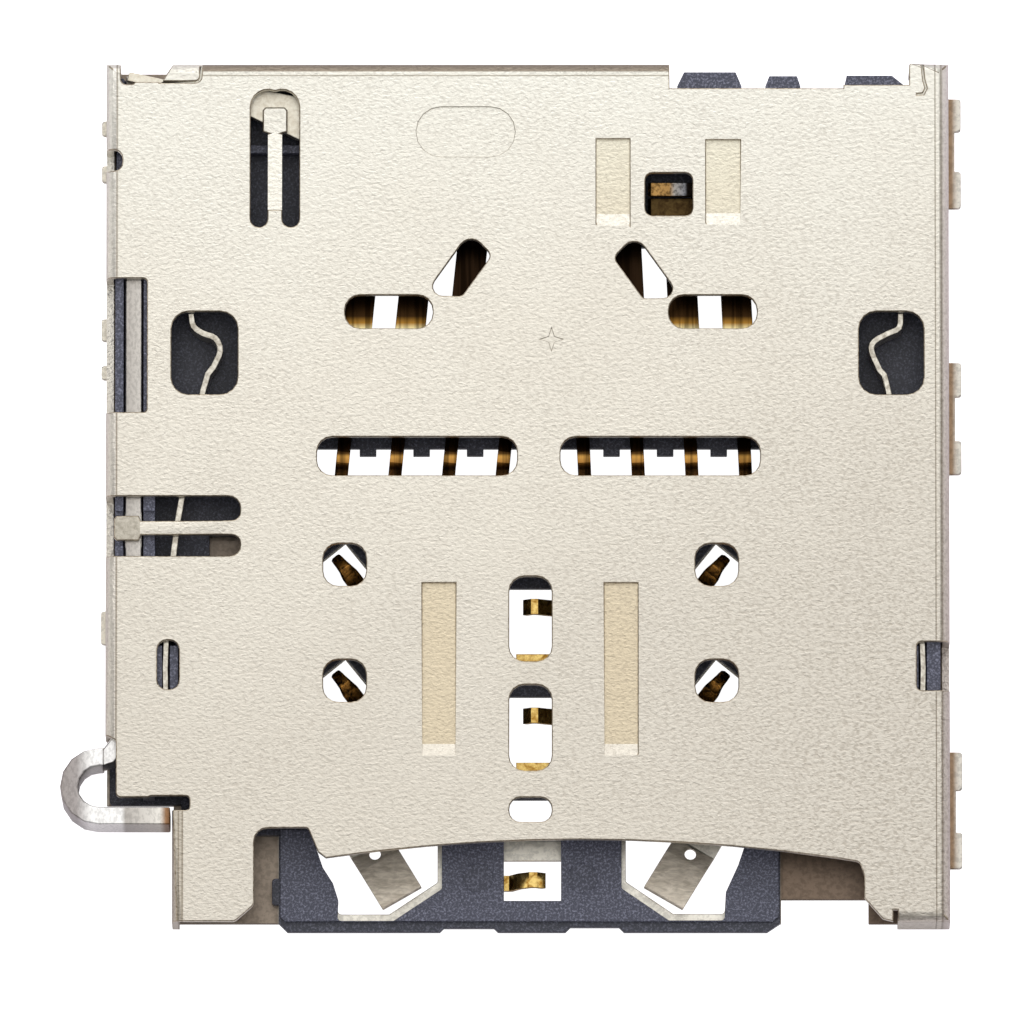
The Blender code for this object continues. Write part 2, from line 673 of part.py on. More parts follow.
def thin_cuts():
    """Sheared lines of the tab beside the back notch, the split in the right ear and the star mark."""
    bm = bmesh.new()
    high = HEIGHT + THROUGH
    slit_left = BACK_NOTCH_X[1] - NOTCH_SLANT - EMBED
    slit_front = BACK_NOTCH_Y + 0.01 * MM
    out = SHELL_BACK + 0.5 * MM
    slit = rounded([
        (slit_left, slit_front, 0),
        (TAB_RIGHT + TAB_SLIT, slit_front, 0.14 * MM),
        (TAB_RIGHT + TAB_SLIT, out, 0),
        (TAB_RIGHT, out, 0),
        (TAB_RIGHT, slit_front + TAB_SLIT, 0.11 * MM),
        (slit_left, slit_front + TAB_SLIT, 0),
    ])
    prism(bm, slit, HEIGHT - TAB_SLIT_DEPTH, high)
    one, other = ribbon([(x * MM, y * MM) for x, y in EAR_SPLIT], EAR_SPLIT_WIDTH)
    prism(bm, one + other[::-1], HEIGHT - SHELL_SHEET / 2, high)
    prism(bm, star_outline(*STAR_MARK), HEIGHT - MARK_DEPTH, high)
    return bm


def pressed_ribs():
    """The sheet that the pressed strips push down, standing proud of the underside."""
    bm = bmesh.new()
    rim = 0.05 * MM
    low = SHELL_UNDER - PRESS_DEPTH
    for left, right, front, back in PRESSED_STRIPS:
        box(bm, left - rim, right + rim, front, back + rim, low, SHELL_UNDER + EMBED)
    return bm


def spring_finger(bm, length, head_height, turn, place):
    """Finger of the sheet, bent down to press on the piece below."""
    flat = HEIGHT - SHELL_SHEET / 2
    thin = SHELL_SHEET - 0.01 * MM
    width = FINGER_WIDTH - 0.01 * MM
    neck = length - FINGER_HEAD
    path = (
        (-0.30 * MM, flat, width),
        (FINGER_NECK * 0.8, flat, width),
        (neck, head_height, width),
        (neck + 0.04 * MM, head_height, 1.7 * FINGER_WIDTH),
        (length - 0.06 * MM, head_height, 1.7 * FINGER_WIDTH),
        (length, head_height, 1.3 * FINGER_WIDTH),
    )
    made = bent_strip(bm, path, thin)
    turned = Matrix.Translation(place) @ Matrix.Rotation(turn, 4, "Z")
    bmesh.ops.transform(bm, matrix=turned, verts=made)


def make_shell(surface, parent):
    """Folded cover of thin sheet with its windows, pressed strips and two spring fingers."""
    shell = piece("shell", shell_block(), surface, parent)
    shape(shell, tool("shell_cavity", shell_cavity()), "DIFFERENCE")
    shape(shell, tool("shell_ribs", pressed_ribs()), "UNION")
    shape(shell, tool("shell_thin_cuts", thin_cuts()), "DIFFERENCE")
    shape(shell, tool("shell_marks", marks()), "DIFFERENCE")
    openings = bmesh.new()
    top_windows(openings)
    edge_cuts(openings)
    shape(shell, tool("shell_openings", openings), "DIFFERENCE")
    fingers = bmesh.new()
    length = BACK_FINGER_TIP - BACK_FINGER_Y[0]
    head = LEVER_HIGH + STACK_GAP + SHELL_SHEET / 2
    spring_finger(fingers, length, head, math.radians(90), (BACK_FINGER_X, BACK_FINGER_Y[0], 0))
    length = SIDE_FINGER_X - SIDE_FINGER_TIP
    head = ROD_HIGH + STACK_GAP + SHELL_SHEET / 2
    spring_finger(fingers, length, head, math.radians(180), (SIDE_FINGER_X, SIDE_FINGER_Y, 0))
    shape(shell, tool("shell_fingers", fingers), "UNION")


def front_opening(side, ledge=0.0):
    """One of the two openings in the front bar; the frame leaves a ledge at its front."""
    if side < 0:
        corners = (
            (-4.20 * MM, -6.60 * MM - ledge, 0),
            (-3.87 * MM, -7.58 * MM, 0),
            (-3.66 * MM, -7.91 * MM, 0),
            (-3.55 * MM, -8.26 * MM, 0),
            (-3.57 * MM, -8.685 * MM + ledge, 0.08 * MM),
            (-2.42 * MM - ledge / 2, -8.685 * MM + ledge, 0.05 * MM),
            (-1.43 * MM - ledge / 2, -8.025 * MM + ledge, 0.05 * MM),
            (-1.43 * MM - ledge / 2, -6.60 * MM - ledge, 0),
        )
    else:
        corners = (
            (2.25 * MM + ledge / 2, -6.60 * MM - ledge, 0),
            (2.25 * MM + ledge / 2, -8.01 * MM + ledge, 0.05 * MM),
            (3.22 * MM + ledge / 2, -8.675 * MM + ledge, 0.05 * MM),
            (4.36 * MM, -8.675 * MM + ledge, 0.08 * MM),
            (4.385 * MM, -8.09 * MM, 0),
            (4.64 * MM, -7.53 * MM, 0),
            (4.95 * MM, -6.60 * MM - ledge, 0),
        )
    return rounded(corners)


def sim_opening(side, row, margin):
    """Opening beside one sim card finger, wide on its outer side."""
    corners = (
        (-SIM_ROOT - 0.09 * MM - margin, -0.42 * MM - margin),
        (0.50 * MM + margin, -0.42 * MM - margin),
        (0.50 * MM + margin, 0.70 * MM + margin),
        (-SIM_ROOT - 0.09 * MM - margin, 0.70 * MM + margin),
    )
    heading = math.pi - SIM_LEAN
    x = SIM_MIDDLE_X + side * SIM_COLUMN_PITCH / 2
    y = SIM_FIRST_Y - row * SIM_ROW_PITCH
    points = []
    for along, across in corners:
        spot = Matrix.Rotation(heading, 2) @ Vector((along, across))
        points.append(Vector((x - side * spot.x, y + spot.y)))
    return points if side < 0 else points[::-1]


def comb_opening(first_x):
    """Opening under four contact tips, with a tooth of plastic between neighbours."""
    front = TIP_WINDOW_Y[0] - 0.25 * MM
    back = TIP_WINDOW_Y[1] - 0.08 * MM
    tooth = 0.15 * MM
    half = 0.17 * MM
    left = first_x - 0.55 * MM
    right = first_x + 3 * ROW_PITCH + 0.45 * MM
    points = [(left, front), (right, front), (right, back)]
    for gap in (2, 1, 0):
        middle = first_x + (gap + 0.5) * ROW_PITCH
        points += [(middle + half, back), (middle + half, back - tooth)]
        points += [(middle - half, back - tooth), (middle - half, back)]
    points.append((left, back))
    return points


def row_contact(index):
    """Tip X, root X and turn of one of the eight row contacts."""
    left = index < 4
    tip = ROW_FIRST_LEFT + index * ROW_PITCH if left else ROW_FIRST_RIGHT + (index - 4) * ROW_PITCH
    root = tip + (ROW_LEAN_LEFT if left else ROW_LEAN_RIGHT)
    length = ROW_ROOT_Y - ROW_TIP_Y
    return tip, root, math.atan2(ROW_TIP_Y - ROW_ROOT_Y, tip - root), length


def housing_outline():
    """Floor of the moulding, counter-clockwise from the back left corner."""
    left = SHELL_LEFT + SHELL_SHEET + SIDE_GAP
    right = SHELL_RIGHT - SHELL_SHEET - SIDE_GAP
    back = SHELL_BACK - SHELL_SHEET - SIDE_GAP
    front = SHELL_FRONT + SHELL_SHEET + SIDE_GAP
    leg = LEG_WALL_X + SHELL_SHEET + SIDE_GAP
    corner_front = CORNER_CUT_Y - 0.01 * MM
    bar_left, bar_right, bar_front = FRONT_BAR
    nub_front, nub_back = NUB_Y
    corners = [
        (left, back, 0),
        (left, LEFT_WALL_FRONT - 0.10 * MM, 0),
        (left - 0.10 * MM, LEFT_WALL_FRONT - 0.25 * MM, 0),
        (left - 0.10 * MM, corner_front, 0.08 * MM),
        (leg, corner_front, 0),
        (leg, FLOOR_FRONT, 0),
        (bar_left, FLOOR_FRONT, 0),
        (bar_left, nub_back, 0),
        (bar_left - NUB_OUT, nub_back, NUB_OUT * 0.9),
        (bar_left - NUB_OUT, nub_front, NUB_OUT * 0.9),
        (bar_left, nub_front, 0),
        (bar_left, bar_front + BAR_CHAMFER, 0),
        (bar_left + BAR_CHAMFER, bar_front, 0),
    ]
    for recess_left, recess_right, depth in BAR_RECESSES:
        corners += [
            (recess_left, bar_front, 0),
            (recess_left + depth, bar_front + depth, 0),
            (recess_right - depth, bar_front + depth, 0),
            (recess_right, bar_front, 0),
        ]
    corners += [
        (bar_right - BAR_CHAMFER * 1.5, bar_front, 0),
        (bar_right, bar_front + BAR_CHAMFER, 0),
        (bar_right, FLOOR_FRONT, 0),
        (FRONT_WALL_LEFT + SHELL_SHEET, FLOOR_FRONT, 0),
        (FRONT_WALL_LEFT + SHELL_SHEET, front, 0),
        (right, front, 0),
        (right, BACK_EDGE_Y - 0.08 * MM, 0),
        (BACK_WALL_RIGHT - SIDE_GAP, BACK_EDGE_Y - 0.08 * MM, 0),
        (BACK_WALL_RIGHT - SIDE_GAP, back, 0),
    ]
    return rounded(corners)


def tall_walls():
    """Walls and rails up to the sheet, and the lugs behind its back edge."""
    bm = bmesh.new()
    low = FLOOR_TOP - EMBED
    inset = 0.01 * MM
    left = SHELL_LEFT + SHELL_SHEET + SIDE_GAP + inset
    right = SHELL_RIGHT - SHELL_SHEET - SIDE_GAP - inset
    channel_left = ROD_X - ROD / 2 - ROD_CLEAR
    channel_right = ROD_X + ROD / 2 + ROD_CLEAR
    rail = channel_right + RAIL_WALL
    grip = SPRING_ROOT_LEFT - STRIP / 2 - STACK_GAP
    root_front = SPRING_ROOT_Y - 0.45 * MM
    root_back = SPRING_ROOT_Y + 0.95 * MM
    box(bm, left, channel_left, LEFT_WALL_FRONT + 0.66 * MM, TALL_WALL_BACK, low, RIM_TOP)
    rail_outline = (
        (channel_right, CORNER_CUT_Y + 0.06 * MM),
        (rail, CORNER_CUT_Y + 0.06 * MM),
        (rail, root_front),
        (grip, root_front),
        (grip, root_back),
        (rail, root_back),
        (rail, TALL_WALL_BACK),
        (channel_right, TALL_WALL_BACK),
    )
    prism(bm, rail_outline, low, RIM_TOP)
    block = SPRING_ROOT_LEFT + STRIP / 2 + STACK_GAP
    box(bm, block, block + SPRING_BLOCK, root_front, root_back, low, RIM_TOP)
    gap_front, gap_back = GUIDE_GAP_Y
    box(bm, *GUIDE_LEFT, CORNER_CUT_Y + 0.06 * MM, gap_front, low, RIM_TOP)
    box(bm, *GUIDE_LEFT, gap_back, TALL_WALL_BACK, low, RIM_TOP)
    rail_front = SHELL_FRONT + SHELL_SHEET + SIDE_GAP + inset
    box(bm, right - RIGHT_RAIL, right, rail_front, BACK_EDGE_Y - 0.20 * MM, low, RIM_TOP)
    block = SPRING_ROOT_RIGHT - STRIP / 2 - STACK_GAP
    box(bm, block - SPRING_BLOCK, block, root_front, root_back, low, RIM_TOP)
    box(bm, *GUIDE_RIGHT, FLOOR_FRONT + 0.30 * MM, gap_front, low, RIM_TOP)
    box(bm, *GUIDE_RIGHT, gap_back, GUIDE_RIGHT_BACK, low, RIM_TOP)
    for lug_left, tip_left, tip_right, lug_right, lug_back in BACK_LUGS:
        shoulder = BACK_EDGE_Y + LUG_SHOULDER
        outline = (
            (lug_left, BACK_EDGE_Y - 0.45 * MM),
            (lug_right, BACK_EDGE_Y - 0.45 * MM),
            (lug_right, shoulder),
            (tip_right, lug_back),
            (tip_left, lug_back),
            (lug_left, shoulder),
        )
        prism(bm, outline, FLOOR_BOTTOM + inset, RIM_TOP)
    return bm


def low_walls():
    """Ribs under the lever, the pivot boss and the blocks that hold the contact roots."""
    bm = bmesh.new()
    low = FLOOR_TOP - EMBED / 2
    high = LOW_WALL_TOP
    overlap = 0.03 * MM
    step = 0.004 * MM
    front = TALL_WALL_BACK - overlap
    back = SHELL_BACK - SHELL_SHEET - SIDE_GAP
    left = SHELL_LEFT + SHELL_SHEET + SIDE_GAP
    channel_left = ROD_X - ROD / 2 - ROD_CLEAR
    channel_right = ROD_X + ROD / 2 + ROD_CLEAR
    box(bm, left + overlap, channel_left - step, front, back - overlap, low, high)
    rail = channel_right + RAIL_WALL
    box(bm, channel_right + step, rail - overlap, front, back - overlap, low, high)
    rib_right = BACK_WALL_RIGHT - 0.34 * MM
    box(bm, BACK_RIB_LEFT, rib_right, back - BACK_RIB, back - overlap, low, high)
    box(bm, *LEVER_RIB, low, high)
    prism(bm, circle(PIVOT_X, PIVOT_Y, LEVER_BOSS - overlap), low, high)
    _, first_root, _, _ = row_contact(0)
    _, last_root, _, _ = row_contact(7)
    rim = BEAM_WIDTH / 2 + 0.15 * MM
    box(bm, first_root - rim, last_root + rim, *CLAMP_Y, low, CLAMP_TOP)
    right = DETECT_ROOT_X - DETECT_CLAMP_GAP
    front = DETECT_Y - DETECT_PAIR_STEP - 0.26 * MM
    box(bm, right - DETECT_CLAMP, right, front, DETECT_Y + 0.30 * MM, low, CLAMP_TOP)
    return bm


def front_bar_top():
    """Raised part of the front bar, set back from its front edge."""
    bm = bmesh.new()
    left, right, front = FRONT_BAR
    inset = 0.03 * MM
    step = front + FRONT_BAR_STEP
    outline = rounded([
        (left + inset, step + 0.10 * MM, 0),
        (left + inset + 0.10 * MM, step, 0),
        (right - inset - 0.12 * MM, step, 0),
        (right - inset, step + 0.12 * MM, 0),
        (right - inset, FLOOR_FRONT + 0.10 * MM, 0),
        (left + inset, FLOOR_FRONT + 0.10 * MM, 0),
    ])
    prism(bm, outline, FLOOR_TOP - EMBED / 3, FRONT_BAR_TOP)
    return bm


def gate_marks():
    """Shallow round marks where the moulding was fed."""
    bm = bmesh.new()
    for x in GATE_MARKS_X:
        low = FRONT_BAR_TOP - MARK_DEPTH
        prism(bm, circle(x, GATE_MARK_Y, GATE_MARK), low, FRONT_BAR_TOP + EMBED)
    return bm


def floor_openings():
    """Openings right through the floor of the moulding."""
    bm = bmesh.new()
    low = FLOOR_BOTTOM - THROUGH
    high = HEIGHT
    rim = 0.10 * MM
    for side in (-1, 1):
        prism(bm, front_opening(side), low, high)
        for row in range(2):
            prism(bm, sim_opening(side, row, 0.0), low, high)
    for first_x in (ROW_FIRST_LEFT, ROW_FIRST_RIGHT):
        prism(bm, comb_opening(first_x), low, high)
    beam_front = BEAM_WINDOW_Y[0] - 0.75 * MM
    for left, right in BEAM_OPENINGS_X:
        box(bm, left, right, beam_front, CLAMP_Y[0] - rim, low, high)
    left = CENTRE_WINDOW_X[0] - rim
    turn_right = CENTRE_TURN_X + CONTACT_SHEET / 2 + SLOT_CLEAR
    for front, back in CENTRE_WINDOWS_Y[:2]:
        box(bm, left, turn_right, front - 0.12 * MM, back - rim, low, high)
    front, back = CENTRE_WINDOWS_Y[2]
    box(bm, left, CENTRE_WINDOW_X[1] + rim, front + rim, back + rim, low, high)
    box(bm, *FRONT_WINDOW, low, high)
    box(bm, *SPRING_OPENING, low, high)
    return bm


def root_slots():
    """Slots for the contact risers, the rivet hole and the rod's channel."""
    bm = bmesh.new()
    low = FLOOR_BOTTOM - THROUGH
    high = FLOOR_TOP + EMBED
    half = BEAM_WIDTH / 2 + 0.06 * MM
    deep = 0.12 * MM
    for index in range(8):
        _, root, _, _ = row_contact(index)
        box(bm, root - half, root + half, ROW_ROOT_Y - deep, ROW_ROOT_Y + deep, low, high)
    half = DETECT_WIDTH / 2 + 0.04 * MM
    deep = 0.09 * MM
    for y in (DETECT_Y, DETECT_Y - DETECT_PAIR_STEP):
        box(bm, DETECT_ROOT_X - deep, DETECT_ROOT_X + deep, y - half, y + half, low, high)
    prism(bm, circle(PIVOT_X, PIVOT_Y, PIVOT_RADIUS + PIVOT_CLEAR), low, HEIGHT)
    channel = ROD / 2 + ROD_CLEAR
    bottom = ROD_LOW - ROD_CLEAR
    box(bm, ROD_X - channel, ROD_X + channel, LEFT_WALL_FRONT, SHELL_BACK + THROUGH, bottom, HEIGHT)
    return bm


def clamp_slots():
    """Passages through the root blocks, a close fit round each contact."""
    bm = bmesh.new()
    root_height = FLOOR_TOP + CONTACT_SHEET / 2 + STACK_GAP
    half_high = CONTACT_SHEET / 2 + 0.015 * MM
    low = root_height - half_high
    high = root_height + half_high
    reach = 0.05 * MM
    for index in range(8):
        tip, root, _, length = row_contact(index)
        lean = (tip - root) / length
        middle = root + lean * (ROW_ROOT_Y - sum(CLAMP_Y) / 2)
        half = BEAM_WIDTH / 2 + 0.05 * MM
        box(bm, middle - half, middle + half, CLAMP_Y[0] - reach, CLAMP_Y[1] + reach, low, high)
    right = DETECT_ROOT_X - DETECT_CLAMP_GAP
    half = DETECT_WIDTH / 2 + SLOT_CLEAR
    for y in (DETECT_Y, DETECT_Y - DETECT_PAIR_STEP):
        box(bm, right - DETECT_CLAMP - reach, right + reach, y - half, y + half, low, high)
    return bm


def rod_room():
    """Room at the front left corner for the rod's bend, and in the rails for the side finger."""
    bm = bmesh.new()
    left = SHELL_LEFT - THROUGH
    right = ROD_X + ROD / 2 + 0.02 * MM
    low = ROD_LOW - ROD_CLEAR - 0.01 * MM
    box(bm, left, right, CORNER_CUT_Y - THROUGH, LEFT_WALL_FRONT + 0.55 * MM, low, HEIGHT)
    half = FINGER_WIDTH + 0.06 * MM
    rail_right = right + RAIL_WALL + 0.20 * MM
    box(bm, left, rail_right, SIDE_FINGER_Y - half, SIDE_FINGER_Y + half, ROD_HIGH - 0.01 * MM, HEIGHT)
    return bm


def make_housing(surface, parent):
    """Black moulded base."""
    bm = bmesh.new()
    prism(bm, housing_outline(), FLOOR_BOTTOM, FLOOR_TOP)
    housing = piece("housing", bm, surface, parent)
    shape(housing, tool("housing_front_bar", front_bar_top()), "UNION")
    shape(housing, tool("housing_tall_walls", tall_walls()), "UNION")
    shape(housing, tool("housing_low_walls", low_walls()), "UNION")
    shape(housing, tool("housing_openings", floor_openings()), "DIFFERENCE")
    shape(housing, tool("housing_root_slots", root_slots()), "DIFFERENCE")
    shape(housing, tool("housing_clamp_slots", clamp_slots()), "DIFFERENCE")
    shape(housing, tool("housing_rod_room", rod_room()), "DIFFERENCE")
    shape(housing, tool("housing_gate_marks", gate_marks()), "DIFFERENCE")


def joined_feet(edge, reach, bridge, pair):
    """Two solder feet joined by a low edge of metal between them, from the front one back."""
    (first_front, first_back), (second_front, second_back) = pair
    return [
        (edge, first_front),
        (reach, first_front),
        (reach, first_back),
        (bridge, first_back),
        (bridge, second_front),
        (reach, second_front),
        (reach, second_back),
        (edge, second_back),
    ]


def frame_outline():
    """Stamped frame under the moulding, with its solder feet, counter-clockwise."""
    inset = 0.02 * MM
    left = SHELL_LEFT + inset
    right = SHELL_RIGHT - inset
    back = SHELL_BACK - inset
    leg = LEG_WALL_X + inset
    foot_left = SHELL_LEFT - FOOT_OUT_LEFT
    foot_right = SHELL_RIGHT + FOOT_OUT_RIGHT
    bridge = SHELL_RIGHT + FOOT_BRIDGE
    recess_back = FRAME_FRONT + 0.50 * MM
    points = [(left, back)]
    for front, foot_back in FEET_LEFT:
        points += [(left, foot_back), (foot_left, foot_back), (foot_left, front), (left, front)]
    points += [
        (left, CORNER_CUT_Y),
        (leg, CORNER_CUT_Y),
        (leg, FRAME_FRONT),
        (FRONT_BAR[1] + inset, FRAME_FRONT),
        (FRONT_BAR[1] + inset, recess_back),
        (MOUTH_RIGHT + 0.10 * MM, recess_back),
        (MOUTH_RIGHT + 0.10 * MM, FRAME_FRONT),
        (right, FRAME_FRONT),
    ]
    front_first = FEET_RIGHT[::-1]
    for pair in zip(front_first[::2], front_first[1::2]):
        points += joined_feet(right, foot_right, bridge, pair)
    behind_lugs = BACK_EDGE_Y - 0.06 * MM
    points += [
        (right, back),
        (EAR_X + inset, back),
        (EAR_X + inset, behind_lugs),
        (BACK_WALL_RIGHT - inset, behind_lugs),
        (BACK_WALL_RIGHT - inset, back),
    ]
    return points


def frame_openings():
    """Openings in the frame under the contacts and in the mouth."""
    bm = bmesh.new()
    low = -THROUGH
    high = THROUGH
    margin = 0.12 * MM
    beams_left = BEAM_OPENINGS_X[0][0] - 0.35 * MM
    beams_right = DETECT_ROOT_X + 0.65 * MM
    beams_front = BEAM_WINDOW_Y[0] - 1.15 * MM
    box(bm, beams_left, beams_right, beams_front, ROW_ROOT_Y + ROW_TAIL + 0.30 * MM, low, high)
    tips_front = TIP_WINDOW_Y[0] - 0.35 * MM
    tips_back = TIP_WINDOW_Y[1] + 0.15 * MM
    for first_x in (ROW_FIRST_LEFT, ROW_FIRST_RIGHT):
        right = first_x + 3 * ROW_PITCH + 0.50 * MM
        box(bm, first_x - 0.60 * MM, right, tips_front, tips_back, low, high)
    for side in (-1, 1):
        prism(bm, front_opening(side, ledge=0.18 * MM), low, high)
        for row in range(2):
            prism(bm, sim_opening(side, row, -0.02 * MM), low, high)
    right = CENTRE_TURN_X + margin
    left = CENTRE_WINDOW_X[0] - margin
    for front, back in CENTRE_WINDOWS_Y[:2]:
        box(bm, left, right, front - 0.14 * MM, back - 0.05 * MM, low, high)
    front, back = CENTRE_WINDOWS_Y[2]
    box(bm, left, CENTRE_WINDOW_X[1] + margin, front + 0.14 * MM, back + 0.14 * MM, low, high)
    slot_left, slot_right, slot_front, slot_back = FRONT_WINDOW
    edge = 0.02 * MM
    slot_left -= 1.09 * MM
    box(bm, slot_left, slot_right + edge, slot_front - edge, slot_back - 0.40 * MM, low, high)
    return bm


def blade(root_x, heading):
    """Tongue of the frame, bent up through an opening of the front bar."""
    bm = bmesh.new()
    flat = FRAME_SHEET / 2
    path = (
        (-0.22 * MM, flat, BLADE_WIDTH),
        (0.48 * MM, flat, BLADE_WIDTH),
        (0.85 * MM, 0.30 * MM, BLADE_WIDTH),
        (BLADE_LENGTH, BLADE_HIGH, BLADE_WIDTH),
    )
    bent_strip(bm, path, FRAME_SHEET - 0.03 * MM)
    turned = Matrix.Rotation(math.radians(heading), 4, "Z")
    place = Matrix.Translation((root_x, BLADE_ROOT_Y, 0)) @ turned
    bmesh.ops.transform(bm, matrix=place, verts=bm.verts)
    return bm


def blade_holes():
    """Small pilot hole near the root of each blade."""
    bm = bmesh.new()
    for root_x, heading in BLADE_ROOTS:
        turn = math.radians(heading)
        x = root_x + 0.64 * MM * math.cos(turn)
        y = BLADE_ROOT_Y + 0.64 * MM * math.sin(turn)
        prism(bm, circle(x, y, 0.12 * MM, 12), -THROUGH, THROUGH)
    return bm


def make_frame(surface, parent):
    """Stamped metal frame with solder feet and the two blades."""
    bm = bmesh.new()
    prism(bm, frame_outline(), 0, FRAME_SHEET)
    frame = piece("base_frame", bm, surface, parent)
    shape(frame, tool("frame_openings", frame_openings()), "DIFFERENCE")
    for number, (root_x, heading) in enumerate(BLADE_ROOTS, start=1):
        shape(frame, tool(f"frame_blade_{number}", blade(root_x, heading)), "UNION")
    shape(frame, tool("frame_blade_holes", blade_holes()), "DIFFERENCE")


def placed_strip(path, place, turn):
    """Bent strip turned and set down."""
    bm = bmesh.new()
    bent_strip(bm, path, CONTACT_SHEET)
    set_down = Matrix.Translation(place) @ Matrix.Rotation(turn, 4, "Z")
    bmesh.ops.transform(bm, matrix=set_down, verts=bm.verts)
    return bm


def make_row_contacts(surface, parent):
    """Eight long beams, held at the back, whose tips meet a small memory card."""
    tail = CONTACT_SHEET / 2
    root_height = FLOOR_TOP + CONTACT_SHEET / 2 + STACK_GAP
    bend = 0.08 * MM
    for index in range(8):
        tip, root, turn, length = row_contact(index)
        reach = math.hypot(length, tip - root)
        path = (
            (-ROW_TAIL, tail, BEAM_WIDTH * 0.6),
            (-bend, tail, BEAM_WIDTH * 0.6),
            (0, tail + bend, BEAM_WIDTH * 0.6),
            (0, root_height - bend, BEAM_WIDTH),
            (bend, root_height, BEAM_WIDTH),
            (0.65 * MM, root_height, BEAM_WIDTH),
            (reach - 1.90 * MM, TIP_HEIGHT - 0.24 * MM, BEAM_WIDTH),
            (reach - 1.00 * MM, TIP_HEIGHT - 0.14 * MM, TIP_WIDTH),
            (reach - 0.50 * MM, TIP_HEIGHT, TIP_WIDTH),
            (reach - 0.30 * MM, TIP_HEIGHT, TIP_WIDTH),
            (reach, TIP_HEIGHT - 0.16 * MM, TIP_WIDTH),
        )
        strip = placed_strip(path, (0, 0, 0), turn)
        piece(f"memory_contact_{index + 1}", strip, surface, parent, (root, ROW_ROOT_Y, 0))


def make_sim_contacts(surface, parent):
    """Slanted fingers, two on each side, that meet the sim card's pads."""
    tail = CONTACT_SHEET / 2
    bend = 0.09 * MM
    root_height = FLOOR_TOP + CONTACT_SHEET / 2
    path = (
        (-SIM_ROOT + 0.55 * MM, tail, SIM_WIDTH),
        (-SIM_ROOT + bend, tail, SIM_WIDTH),
        (-SIM_ROOT, tail + bend, SIM_WIDTH),
        (-SIM_ROOT, root_height - bend, SIM_WIDTH),
        (-SIM_ROOT + bend, root_height, SIM_WIDTH),
        (-0.15 * MM, TIP_HEIGHT - 0.08 * MM, SIM_WIDTH),
        (0, TIP_HEIGHT, SIM_WIDTH * 0.8),
        (0.14 * MM, TIP_HEIGHT - 0.06 * MM, SIM_WIDTH * 0.7),
        (0.30 * MM, TIP_HEIGHT - 0.20 * MM, SIM_WIDTH * 0.6),
    )
    for side, label in ((-1, "left"), (1, "right")):
        turn = math.pi / 2 - side * (math.pi / 2 - SIM_LEAN)
        x = SIM_MIDDLE_X + side * SIM_COLUMN_PITCH / 2
        for row in range(2):
            y = SIM_FIRST_Y - row * SIM_ROW_PITCH
            strip = placed_strip(path, (0, 0, 0), turn)
            piece(f"sim_contact_{label}_{row + 1}", strip, surface, parent, (x, y, 0))


def make_centre_contacts(surface, parent):
    """Fingers of the middle column; their tails turn back across the windows."""
    tail = CONTACT_SHEET / 2
    root_height = FLOOR_TOP + CONTACT_SHEET / 2
    bend = 0.09 * MM
    reach = CENTRE_TURN_X - CENTRE_TIP_X
    path = (
        (0, tail + 0.02 * MM, CENTRE_WIDTH),
        (0, root_height - bend, CENTRE_WIDTH),
        (bend, root_height, CENTRE_WIDTH),
        (reach - 0.45 * MM, TIP_HEIGHT - 0.15 * MM, CENTRE_WIDTH),
        (reach - 0.25 * MM, TIP_HEIGHT, CENTRE_WIDTH),
        (reach - 0.15 * MM, TIP_HEIGHT, CENTRE_WIDTH),
        (reach, TIP_HEIGHT - 0.14 * MM, CENTRE_WIDTH),
    )
    for number, y in enumerate(CENTRE_CONTACT_Y, start=1):
        strip = placed_strip(path, (CENTRE_TURN_X, y, 0), math.pi)
        contact = piece(f"centre_contact_{number}", strip, surface, parent)
        bm = bmesh.new()
        half = CENTRE_WIDTH / 2
        tail_left = CENTRE_WINDOW_X[0] + 0.14 * MM
        right = CENTRE_TURN_X + CONTACT_SHEET / 2 - 0.01 * MM
        corner = right - CONTACT_SHEET + 0.02 * MM
        front = y - CENTRE_TAIL_DROP - half
        outline = (
            (tail_left, front),
            (right, front),
            (right, y + half - 0.02 * MM),
            (corner, y + half - 0.02 * MM),
            (corner, front + CENTRE_WIDTH),
            (tail_left, front + CENTRE_WIDTH),
        )
        prism(bm, outline, 0, CONTACT_SHEET)
        shape(contact, tool(f"centre_tail_{number}", bm), "UNION")
    front_path = (
        (-1.00 * MM, tail, CENTRE_WIDTH),
        (0.14 * MM, tail, CENTRE_WIDTH),
        (0.32 * MM, 0.42 * MM, CENTRE_WIDTH),
        (0.54 * MM, 0.62 * MM, CENTRE_WIDTH),
        (0.66 * MM, 0.62 * MM, CENTRE_WIDTH),
        (0.82 * MM, 0.48 * MM, CENTRE_WIDTH),
    )
    strip = placed_strip(front_path, (0, 0, 0), 0)
    place = (FRONT_WINDOW[0], FRONT_CONTACT_Y, 0)
    piece("centre_contact_3", strip, surface, parent, place)


